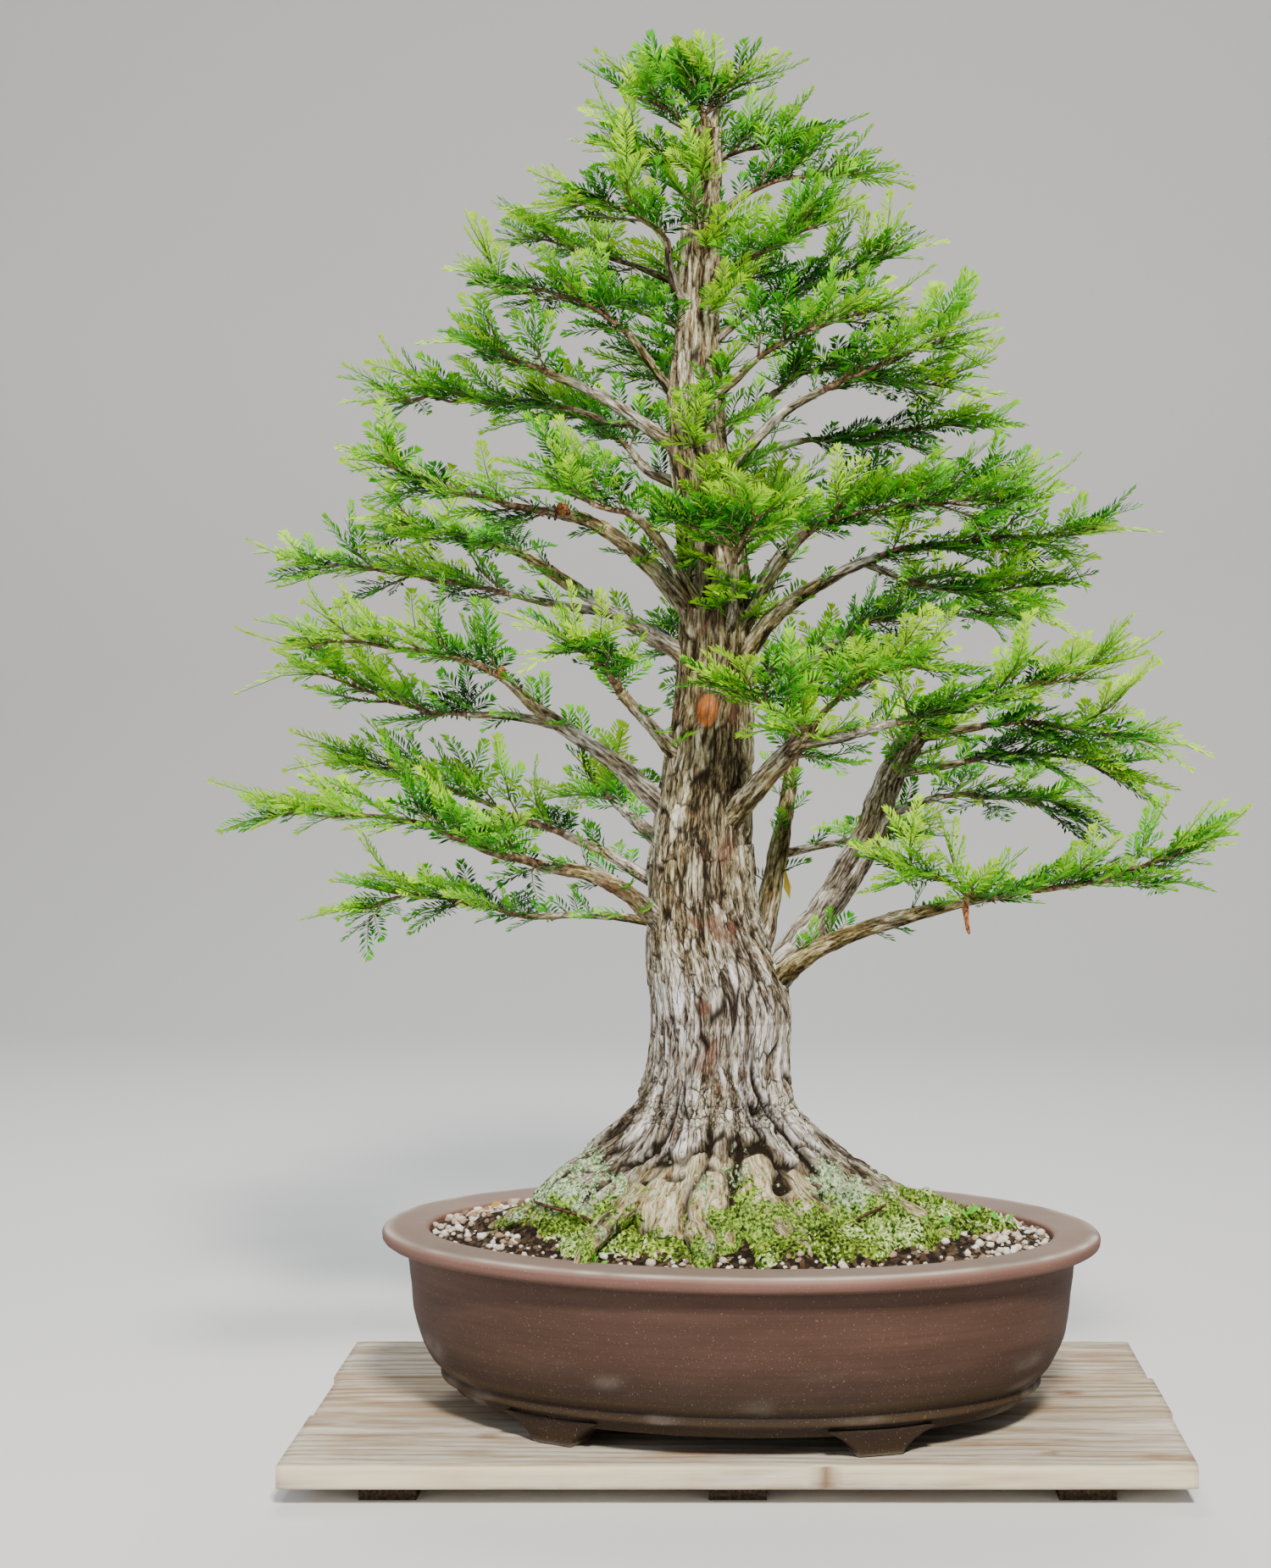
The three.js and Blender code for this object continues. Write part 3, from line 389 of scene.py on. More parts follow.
def unglazed_stoneware():
    """Dull fired clay: iron-brown where the flame reached it, greyer and dusty on the rim, with a painted
    highlight along its top arris.
    """
    material, tree, place = new_material("unglazed_stoneware")
    zone = add_node(tree, "Attribute", out="Fac", attribute_name="zone")
    fired = add_node(tree, "ValToRGB", {"Fac": zone}, stops=[
        (0.0, "#4F3D1B"), (0.12, "#403020"), (0.2, "#34261B"), (0.34, "#57452D"), (0.42, "#4C392E"),
        (0.58, "#61483C"), (0.68, "#6C5246"), (0.8, "#93726A"), (0.9, "#A0867B"), (1.0, "#9C8F88")])
    flat = add_node(tree, "Mapping", {"Vector": place, "Scale": (cells(110), cells(110), cells(22.6))})
    clouds = add_node(tree, "TexNoise", {"Vector": flat, "Scale": 1.0, "Detail": 5.0, "Roughness": 0.6})
    cloudy = add_node(tree, "ValToRGB", {"Fac": clouds}, stops=[
        (0.32, "#5F4A36"), (0.5, "#80796F"), (0.7, "#A69C94")])
    lines = add_node(tree, "Mapping", {"Vector": place, "Scale": (cells(200), cells(200), cells(2.38))})
    wiping = add_node(tree, "TexNoise", {"Vector": lines, "Scale": 1.0, "Detail": 3.0})
    wiped = add_node(tree, "ValToRGB", {"Fac": wiping}, stops=[(0.35, "#6A6460"), (0.6, "#8B8784")])
    for share, tones in ((0.55, cloudy), (0.5, wiped)):
        fired = add_node(tree, "Mix", {0: share, 6: fired, 7: tones},
                         out=2, data_type="RGBA", blend_type="SOFT_LIGHT")
    grit = add_node(tree, "TexNoise", {"Vector": place, "Scale": cells(1.11), "Detail": 2.0})
    speck = add_node(tree, "MapRange", {"Value": grit, "From Min": 0.66, "From Max": 0.76, "To Max": 0.5})
    # Real wear and water marks, and a painted highlight on the rim's arris, are mixed in pale.
    worn = add_node(tree, "Attribute", out="Fac", attribute_name="worn")
    for share, tint in ((speck, "#B59B84"), (worn, "#CFC6BC")):
        fired = add_node(tree, "Mix", {0: share, 6: fired, 7: linear(tint)}, out=2, data_type="RGBA")
    height = add_node(tree, "Math", {0: grit, 1: wiping}, operation="ADD")
    surface(tree, fired, height, 0.25, roughness=0.72, specular_ior_level=0.3)
    return material


stoneware = unglazed_stoneware()
wall = rounded(POT_WALL)
angles = np.arange(POT_SIDES) / POT_SIDES * 2 * np.pi
rings = np.empty((len(wall), POT_SIDES, 3))
rings[..., 0] = (HALF_LENGTH - wall[:, :1]) * np.cos(angles)
rings[..., 1] = (HALF_DEPTH - wall[:, 1:2]) * np.sin(angles)
rings[..., 2] = wall[:, 2:3]
outward = np.stack([np.cos(angles), np.sin(angles), np.zeros(POT_SIDES)], -1)
by_hand = (ripple(rings, (60, 60, 14), 31) - 0.5) * 1.1 + (ripple(rings, (7, 7, 3), 32) - 0.5) * 0.35
rings += by_hand[..., None] * outward
zone = np.interp(rings[..., 2], *np.array(GLAZE_ZONES).T)
zone = zone + 0.06 * (ripple(rings, (50, 50, 9), 33) - 0.5)
# Painted highlight: the rim's outer top arris is painted pale, as light from above catches it. The water
# marks low on the wall are real.
arris = np.exp(-((wall[:, 2] - 155.2) / 0.9) ** 2 - (wall[:, 0] - 2.5) ** 2 / 14)[:, None]
worn = arris * np.clip(ripple(rings, (15, 15, 15), 34) * 1.2 - 0.1, 0.1, 0.75)
water_marks = np.clip(ripple(rings, (34, 34, 9), 35) * 2.4 - 1.5, 0, 1) * ripple(rings, (6, 6, 5), 36)
water_marks = 0.4 * water_marks * np.clip((92 - rings[..., 2]) / 20, 0, 1)
pot = new_piece("stoneware_pot", turned(rings), tube_faces(len(wall), POT_SIDES), stoneware, "pot", ["pot"],
                zone=np.clip(zone, 0, 1), worn=np.clip(np.maximum(worn, water_marks), 0, 1))

# Two drain holes are cut in the floor before firing, one towards each end.
DRAIN_RADIUS, DRAIN_APART, POT_BASE, POT_FLOOR = 13, 200, 42, 56
drain_sides = 32
around = np.arange(drain_sides) / drain_sides * 2 * np.pi
for end in (-1, 1):
    ends = np.array([[[end * DRAIN_APART / 2 + DRAIN_RADIUS * math.cos(a), DRAIN_RADIUS * math.sin(a), z]
                      for a in around] for z in (POT_BASE - 9, POT_FLOOR + 9)])
    plug_mesh = bpy.data.meshes.new("drain")
    plug_mesh.from_pydata((turned(ends).reshape(-1, 3) * MM).tolist(), [], tube_faces(2, drain_sides))
    plug = bpy.data.objects.new("drain", plug_mesh)
    bpy.context.scene.collection.objects.link(plug)
    cut = pot.modifiers.new("drain", "BOOLEAN")
    cut.operation, cut.object, cut.solver = "DIFFERENCE", plug, "EXACT"
    shaped = bpy.data.meshes.new_from_object(pot.evaluated_get(bpy.context.evaluated_depsgraph_get()))
    pot.modifiers.clear()
    pot.data = shaped
    bpy.data.objects.remove(plug)

# Bracket feet, luted on under the base oval: flat soles, ends that sweep up in a hollow curve.
FOOT_HALF, SOLE_HALF, FOOT_THICK, FOOT_ANGLE = 36, 16, 22, 57
FOOT_SWEEP, FOOT_TOP, FOOT_STATIONS = 18, 47, 36
BOARD_TOP = millimetres("plank_front")[1][2]
base_length, base_depth = HALF_LENGTH - 48.5, HALF_DEPTH - 39.5
across_foot = rounded([[0, 1, 0], [0, 0, 0.12], [-1, 0, 0.12], [-1, 1, 0.12], [0, 1, 0.12],
                       [0, 0.5, 0]], 0.16)[3:-2]
along = np.linspace(-FOOT_HALF, FOOT_HALF, FOOT_STATIONS)
swept = np.clip((np.abs(along) - SOLE_HALF) / (FOOT_HALF - SOLE_HALF), 0, 1) ** 0.62
sole = BOARD_TOP + FOOT_SWEEP * swept[:, None]
spread = 3.4 * np.exp(-((np.abs(along) - FOOT_HALF) / 7) ** 2)[:, None]
inset = 1.4 - spread - FOOT_THICK * across_foot[:, 0]
for number, quarter in enumerate((FOOT_ANGLE, 180 - FOOT_ANGLE, 180 + FOOT_ANGLE, 360 - FOOT_ANGLE), 1):
    centre = math.radians(quarter)
    stretch = math.hypot(base_length * math.sin(centre), base_depth * math.cos(centre))
    bearing = (centre + along / stretch)[:, None]
    shape = np.empty((FOOT_STATIONS, len(across_foot), 3))
    shape[..., 2] = sole + (FOOT_TOP - sole) * across_foot[:, 1]
    lift = (shape[..., 2] - BOARD_TOP) / FOOT_SWEEP
    shape[..., 0] = (base_length - inset + 2.5 * lift) * np.cos(bearing)
    shape[..., 1] = (base_depth - inset + 2.5 * lift) * np.sin(bearing)
    rough = (ripple(shape, 5, 40 + number) - 0.5) * 0.8
    shape[..., :2] *= (1 + rough / 200)[..., None]
    new_piece(f"bracket_foot_{number}", turned(shape), tube_faces(*shape.shape[:2]), stoneware, "pot",
              ["pot"], zone=0.02 + 0.12 * lift + 0.05 * ripple(shape, 12, 44),
              worn=0.4 * np.clip(1 - (shape[..., 2] - BOARD_TOP) / 2.5, 0, 1))

# Soil: dark grit and clay, watered flat at the rim and mounded to the tree, with moss grown over
# most of it. White pumice shows where the moss has not closed.
SOIL_EDGE, SOIL_MOUND = 149, 44
RIM_LENGTH, RIM_DEPTH = 33, 38        # insets of the rim's inner edge along the pot and across it
CUSHIONS = [                          # x, y, radius, height of each moss cushion
    (-164, -6, 26, 5), (-131, -38, 24, 6), (-98, -82, 22, 5), (-76, -104, 24, 4), (-40, -118, 26, 5),
    (38, -114, 26, 7), (79, -100, 24, 6), (112, -72, 24, 7), (136, -30, 26, 8), (173, -12, 22, 6),
    (-120, 50, 26, 5), (-40, 112, 30, 6), (60, 108, 28, 5), (130, 44, 28, 6)]
SOIL_RINGS, SOIL_SIDES = 92, 250


def inward_share(x, y):
    """How far in from the pot's inner wall a place is: 0 at the wall, 1 in the middle."""
    sine, cosine = math.sin(-POT_TURN), math.cos(-POT_TURN)
    along = (x * cosine - y * sine) / (HALF_LENGTH - RIM_LENGTH)
    across = (x * sine + y * cosine) / (HALF_DEPTH - RIM_DEPTH)
    return np.maximum(0, 1 - np.hypot(along, across))


def soil_height(x, y):
    """The soil's height at a place measured from the pot's centre, as in the CAD solid."""
    inward = inward_share(x, y)
    lumps = 1.4 * np.sin(x / 9 + 1) * np.cos(y / 8) + 0.9 * np.sin(x / 5 + y / 6)
    for cushion_x, cushion_y, radius, rise in CUSHIONS:
        away = np.hypot(x - cushion_x, y - cushion_y) / radius
        lumps = lumps + rise * np.sqrt(np.clip(1 - away * away, 0, 1))
    return SOIL_EDGE + SOIL_MOUND * inward + np.minimum(1, 7 * inward) * lumps


def moss_share(x, y):
    """1 where moss has closed over the soil and 0 on bare grit, with a ragged edge between."""
    flat = np.stack([x, y, 0 * x], -1)
    ragged = 0.2 * (ripple(flat, 16, 51) - 0.5) + 0.1 * (ripple(flat, 5, 52) - 0.5)
    cover = np.clip((inward_share(x, y) + ragged - 0.17) * 11, 0, 1)
    bare_left = np.clip((-x - 158 + 40 * ripple(flat, 18, 53)) / 12, 0, 1)
    for cushion_x, cushion_y, radius, rise in CUSHIONS:
        away = np.hypot(x - cushion_x, y - cushion_y) / radius
        cover = np.maximum(cover, np.clip((1.08 + 0.5 * ragged - away) * 8, 0, 1))
    raked = np.clip((inward_share(x, y) + 0.6 * ragged - 0.06) * 16, 0, 1)
    return cover * (1 - bare_left) * raked


def smooth_share(inward):
    """0 by the pot's wall, where the soil is raked level, and 1 from a little way in."""
    return np.clip((inward - 0.12) / 0.2, 0, 1)


def moss_and_grit():
    """Fibrous moss in bright and olive greens over near-black, matt crumbs of soil."""
    material, tree, place = new_material("moss_and_grit")
    crumbs = add_node(tree, "TexVoronoi", {"Vector": place, "Scale": cells(3.125), "Randomness": 1.0})
    soil_tone = add_node(tree, "ValToRGB", {"Fac": crumbs.node.outputs["Color"]}, stops=[
        (0.2, "#120D08"), (0.5, "#2A1E14"), (0.8, "#554330"), (0.95, "#A08E74")])
    patches = add_node(tree, "TexNoise", {"Vector": place, "Scale": cells(26.3), "Detail": 3.0})
    tufts = add_node(tree, "TexNoise", {"Vector": place, "Scale": cells(2.38), "Detail": 3.0})
    moss_fac = add_node(tree, "Math", {0: patches, 1: 0.55, 2: tufts}, operation="MULTIPLY_ADD")
    moss_tone = add_node(tree, "ValToRGB", {"Fac": moss_fac}, stops=[
        (0.62, "#121405"), (0.72, "#3A4A10"), (0.82, "#6C8A22"), (0.92, "#A2BC42"), (1.0, "#D2DC74")])
    covers = []
    for growth in ("pale", "moss"):
        cover = add_node(tree, "Attribute", out="Fac", attribute_name=growth)
        edge = add_node(tree, "Math", {0: tufts, 1: 1.2, 2: cover}, operation="MULTIPLY_ADD")
        covers.append(add_node(tree, "MapRange", {"Value": edge, "From Min": 1.05, "From Max": 1.15}))
    mint = add_node(tree, "ValToRGB", {"Fac": tufts}, stops=[
        (0.38, "#2F4718"), (0.47, "#7C9E48"), (0.58, "#BCD083"), (0.7, "#E6EEC4")])
    mossy = add_node(tree, "Mix", {0: covers[0], 6: moss_tone, 7: mint}, out=2, data_type="RGBA")
    ground = add_node(tree, "Mix", {0: covers[1], 6: soil_tone, 7: mossy}, out=2, data_type="RGBA")
    height = add_node(tree, "Math", {0: tufts, 1: crumbs}, operation="ADD")
    surface(tree, ground, height, 1.2, roughness=0.9, specular_ior_level=0.2)
    return material


INNER_WALL = [[62.6, 58.6, 56.3], [42.6, 44.6, 92], [36.6, 40.6, 125], [33.6, 38.6, 146]]
shares = np.linspace(0.004, 0.985, SOIL_RINGS)
insets = np.array(INNER_WALL + [[RIM_LENGTH + (HALF_LENGTH - RIM_LENGTH) * share,
                                 RIM_DEPTH + (HALF_DEPTH - RIM_DEPTH) * share, 0] for share in shares])
around = np.arange(SOIL_SIDES) / SOIL_SIDES * 2 * np.pi
rings = np.empty((len(insets), SOIL_SIDES, 3))
rings[..., 0] = (HALF_LENGTH - insets[:, :1]) * np.cos(around)
rings[..., 1] = (HALF_DEPTH - insets[:, 1:2]) * np.sin(around)
rings[..., 2] = insets[:, 2:]
placed = turned(rings)
x, y = np.moveaxis(placed - POT_CENTRE, -1, 0)[:2]
on_plan = placed * [1, 1, 0]
moss = moss_share(x, y)
granules = ripple(on_plan, (3.4, 3.4, 1), 61) - 0.4
tufted = ripple(on_plan, (2.2, 2.2, 1), 62) + 0.8 * ripple(on_plan, (6, 6, 1), 63) - 0.6
cushiony = 11 * (ripple(on_plan, (15, 15, 1), 65) - 0.5) * smooth_share(inward_share(x, y))
relief = np.where(moss > 0.5, 2.8 * tufted + 1.2 + cushiony, 2.2 * granules)
top = slice(len(INNER_WALL), None)
placed[top, :, 2] = (soil_height(x, y) + relief * np.minimum(1, 10 * inward_share(x, y)))[top]
pale_moss = ripple(on_plan, (19, 19, 1), 64) * 1.5 - 0.56 + 0.2 * (x > 60) + 0.3 * (x < -70)
new_piece("mossy_soil", placed, tube_faces(len(insets), SOIL_SIDES), moss_and_grit(), "soil", ["soil"],
          moss=moss, pale=pale_moss)

# Pumice and small stones: white, pinkish and tan grains 3 to 7 mm, sieved for drainage and
# scattered where the moss is open. Moss tufts: short upright sprouts that roughen its outline.
OCTAHEDRON = np.array([(1, 0, 0), (0, 1, 0), (-1, 0, 0), (0, -1, 0), (0, 0, 1), (0, 0, -1)], float)
OCTAHEDRON_FACES = [(0, 1, 4), (1, 2, 4), (2, 3, 4), (3, 0, 4), (1, 0, 5), (2, 1, 5), (3, 2, 5), (0, 3, 5)]


def grain_shape():
    """A stone's rough ball: an octahedron with each face cut in four and pushed out."""
    points = [tuple(p) for p in OCTAHEDRON]
    faces = []
    for a, b, c in OCTAHEDRON_FACES:
        middles = []
        for one, other in ((a, b), (b, c), (c, a)):
            middle = np.array(points[one]) + np.array(points[other])
            middle = tuple(np.round(middle / np.linalg.norm(middle), 6))
            if middle not in points:
                points.append(middle)
            middles.append(points.index(middle))
        ab, bc, ca = middles
        faces += [(a, ab, ca), (ab, b, bc), (ca, bc, c), (ab, bc, ca)]
    return np.array(points), np.array(faces)


def scattered(count, seed, wanted):
    """Places in the pot, measured from its centre, kept where the wanted share is high."""
    index = np.arange(count)
    bearing = draw(seed, index, 1) * 2 * np.pi
    reach = np.sqrt(draw(seed, index, 2))
    x = (HALF_LENGTH - RIM_LENGTH - 3) * reach * np.cos(bearing)
    y = (HALF_DEPTH - RIM_DEPTH - 3) * reach * np.sin(bearing)
    spots = turned(np.stack([x, y, 0 * x], -1)) - POT_CENTRE
    keep = draw(seed, index, 3) < wanted(spots[:, 0], spots[:, 1])
    return index[keep], spots[keep]


def blobs(name, base, faces, spots, sizes, squash, seed, index, material, tone):
    """Many little closed lumps in one piece, each turned and dented in its own way."""
    turn = draw(seed, index, 11)[:, None] * 2 * np.pi
    corners = len(base)
    dents = 0.7 + 0.6 * draw(seed, index[:, None], np.arange(corners)[None], 12)
    shape = base[None] * dents[..., None] * sizes[:, None, None] / 2 * squash
    x, y, z = np.moveaxis(shape, -1, 0)
    spun = np.stack([x * np.cos(turn) - y * np.sin(turn), x * np.sin(turn) + y * np.cos(turn), z], -1)
    spun += spots[:, None] + POT_CENTRE
    all_faces = (np.asarray(faces)[None] + np.arange(len(spots))[:, None, None] * corners).reshape(-1, 3)
    return new_piece(name, spun, all_faces.tolist(), material, "soil", tone=np.repeat(tone, corners))


def pumice():
    """Porous volcanic grains: chalky white, cream and a few pinkish or grey ones."""
    material, tree, place = new_material("pumice")
    tone = add_node(tree, "Attribute", out="Fac", attribute_name="tone")
    colour = add_node(tree, "ValToRGB", {"Fac": tone}, stops=[
        (0.0, "#5E4A3A"), (0.18, "#8E7763"), (0.32, "#B79A84"), (0.5, "#CFC2B2"), (0.75, "#E2DDD2"),
        (1.0, "#F1EEE6")])
    pores = add_node(tree, "TexNoise", {"Vector": place, "Scale": cells(0.77), "Detail": 2.0})
    surface(tree, colour, pores, 0.5, roughness=0.95, specular_ior_level=0.1)
    return material


def moss_sprout():
    """Moss leaves: dull, translucent yellow-green tips over deeper green."""
    material, tree, place = new_material("moss_sprout")
    tone = add_node(tree, "Attribute", out="Fac", attribute_name="tone")
    colour = add_node(tree, "ValToRGB", {"Fac": tone}, stops=[
        (0.0, "#263A0C"), (0.3, "#52761E"), (0.55, "#86A83A"), (0.78, "#BACF6A"), (1.0, "#E2EAC0")])
    fuzz = add_node(tree, "TexNoise", {"Vector": place, "Scale": cells(0.667)})
    surface(tree, colour, fuzz, 0.4, roughness=0.85, specular_ior_level=0.15)
    return material


def grit_wanted(x, y):
    """Where grains lie: heaped at the left, thinner at the right and along the front margin."""
    left_pile = np.exp(-((x + 196) / 34) ** 2)
    front_margin = np.clip(1.3 - inward_share(x, y) / 0.16, 0, 1) * (0.3 + 0.5 * (y < 0))
    right_pile = 0.7 * np.exp(-((x - 196) / 26) ** 2)
    return (1 - moss_share(x, y)) * np.clip(0.1 + left_pile + front_margin + right_pile, 0, 1)


GRAINS_TRIED, TUFTS_TRIED = 2600, 7600
index, spots = scattered(GRAINS_TRIED, 71, grit_wanted)
sizes = 2.6 + 4.0 * draw(71, index, 4) ** 2
spots[:, 2] = soil_height(spots[:, 0], spots[:, 1]) + 0.3 * sizes - 0.4
blobs("pumice_grains", *grain_shape(), spots, sizes, [1.15, 0.95, 0.85], 71, index, pumice(),
      draw(71, index, 5) ** 0.8)
index, spots = scattered(TUFTS_TRIED, 72, lambda x, y: 0.9 * moss_share(x, y))
sizes = 2.2 + 2.6 * draw(72, index, 4)
spots[:, 2] = soil_height(spots[:, 0], spots[:, 1]) + 1.6
patch = ripple(spots * [1, 1, 0], (20, 20, 1), 73)
blobs("moss_tufts", OCTAHEDRON, OCTAHEDRON_FACES, spots, sizes, [0.75, 0.75, 1.35], 72, index, moss_sprout(),
      np.clip(0.05 + 0.95 * draw(72, index, 5) * (0.35 + patch), 0, 1))

# Trunk: the live stem of the bald cypress, flared and fluted at its foot. Its bark is thin, grey
# and fibrous, splits into upright strips and comes away in a ragged skirt above the bare roots.
TRUNK_LEVELS = np.array([             # height, middle, half width
    (138, -10, 118), (164, -10, 124), (177, -10, 123), (188, -11, 111), (202, -11, 88), (219, -12, 70),
    (235, -14, 55), (252, -13, 46), (282, -12, 43), (312, -9, 47), (345, -20, 41), (378, -27, 34),
    (430, -27, 29.5), (542, -18, 22), (602, -16, 19.5), (662, -21, 17.5), (722, -31, 16.5),
    (782, -31, 11.7), (931, -22, 6.5)], float)
FLARE_FULL, FLARE_TOP, DEPTH_RATIO = 190, 260, 0.86
ROOTS = [                             # bearing in degrees, how far it stands out, half width
    (-66, 7, 11), (-95, 6, 7), (-114, 6, 9), (-134, 3, 6), (-160, 10, 11), (-24, 9, 10), (-44, 3, 6),
    (10, 6, 11), (40, 6, 9), (68, 5, 10), (105, 6, 11), (145, 6, 12), (177, 4, 8)]
FISSURES = [                          # bearing at its foot and its head, its head's height, depth
    (-146, -118, 262, 4.5), (-38, -66, 290, 4.5), (-84, -80, 236, 3.5), (-100, -96, 250, 2.5),
    (-62, -72, 330, 2.0), (-126, -108, 300, 2.0), (-12, -40, 300, 2.5), (-172, -150, 300, 2.5),
    (60, 80, 280, 3), (120, 100, 270, 3), (20, 40, 290, 3), (160, 140, 290, 3)]
WOUND = (519, -94, 7.5, 12.5)         # height, bearing, half width, half height


def smooth(low, high, value):
    """0 below low, 1 above high and an easy curve between."""
    share = np.clip((value - low) / (high - low), 0, 1)
    return share * share * (3 - 2 * share)


def bearing_off(angle, bearing):
    """How many degrees an angle is from a bearing, the shorter way round."""
    return (np.degrees(angle) - bearing + 180) % 360 - 180


def trunk_middle_and_half(height):
    """The trunk's middle and half width at a height, its levels joined without corners."""
    reach = np.where(height < 245, 7, 20)
    middle, half = 0, 0
    for shift, weight in ((-1, 0.15), (-0.5, 0.2), (0, 0.3), (0.5, 0.2), (1, 0.15)):
        at = np.clip(height + shift * reach, TRUNK_LEVELS[0, 0], None)
        middle = middle + weight * np.interp(at, TRUNK_LEVELS[:, 0], TRUNK_LEVELS[:, 1])
        half = half + weight * np.interp(at, TRUNK_LEVELS[:, 0], TRUNK_LEVELS[:, 2])
    return middle, half


def trunk_reach(angle, level):
    """How far the wood under the bark reaches: fluted as in the CAD solid, with root ridges."""
    half = trunk_middle_and_half(level)[1]
    flat = np.maximum(level, FLARE_FULL)
    flare = smooth(0, FLARE_TOP - FLARE_FULL, FLARE_TOP - flat)
    flutes = 0.045 * np.cos(5 * angle + 1.2 + flat / 110) + 0.035 * np.cos(3 * angle - flat / 70)
    reach = half * (1 + flutes + flare * (0.06 * np.cos(5 * angle + 0.9) + 0.05 * np.cos(3 * angle + 2)))
    ridges = -6
    for bearing, stand, width in ROOTS:
        off = bearing_off(angle, bearing) + 5 * np.sin(level / 13 + bearing)
        ridges = ridges + 1.45 * stand * np.exp(-(off / width) ** 2)
    return reach + (1 - smooth(192, 268, level)) * ridges


def plates(turns, heights, count, length, seed):
    """Strips of bark: how far a place is from their cracks, each strip's own number, place down it."""
    across, along = turns * count, heights / length
    nearest = np.full(across.shape, 9.0)
    second = nearest.copy()
    tone, down = np.zeros(across.shape), np.zeros(across.shape)
    for column_step, row_step in itertools.product((-1, 0, 1), (-1, 0, 1)):
        column = np.floor(across).astype(np.int64) + column_step
        own = np.mod(column, count)
        level = along + draw(seed, own, 1)
        row = np.floor(level).astype(np.int64) + row_step
        aside = across - column - 0.5 - 0.6 * (draw(seed, own, row, 2) - 0.5)
        above = level - row - 0.5 - 0.8 * (draw(seed, own, row, 3) - 0.5)
        away = np.hypot(aside * 1.25, above)
        closer = away < nearest
        second = np.where(closer, nearest, np.minimum(second, away))
        nearest = np.where(closer, away, nearest)
        tone = np.where(closer, draw(seed, own, row, 4), tone)
        down = np.where(closer, -above, down)
    return second - nearest, tone, down


FIBRE_WIDTH, FLAKE_WIDTH = 1.61, 4.55     # in the grain's own places, which are in millimetres


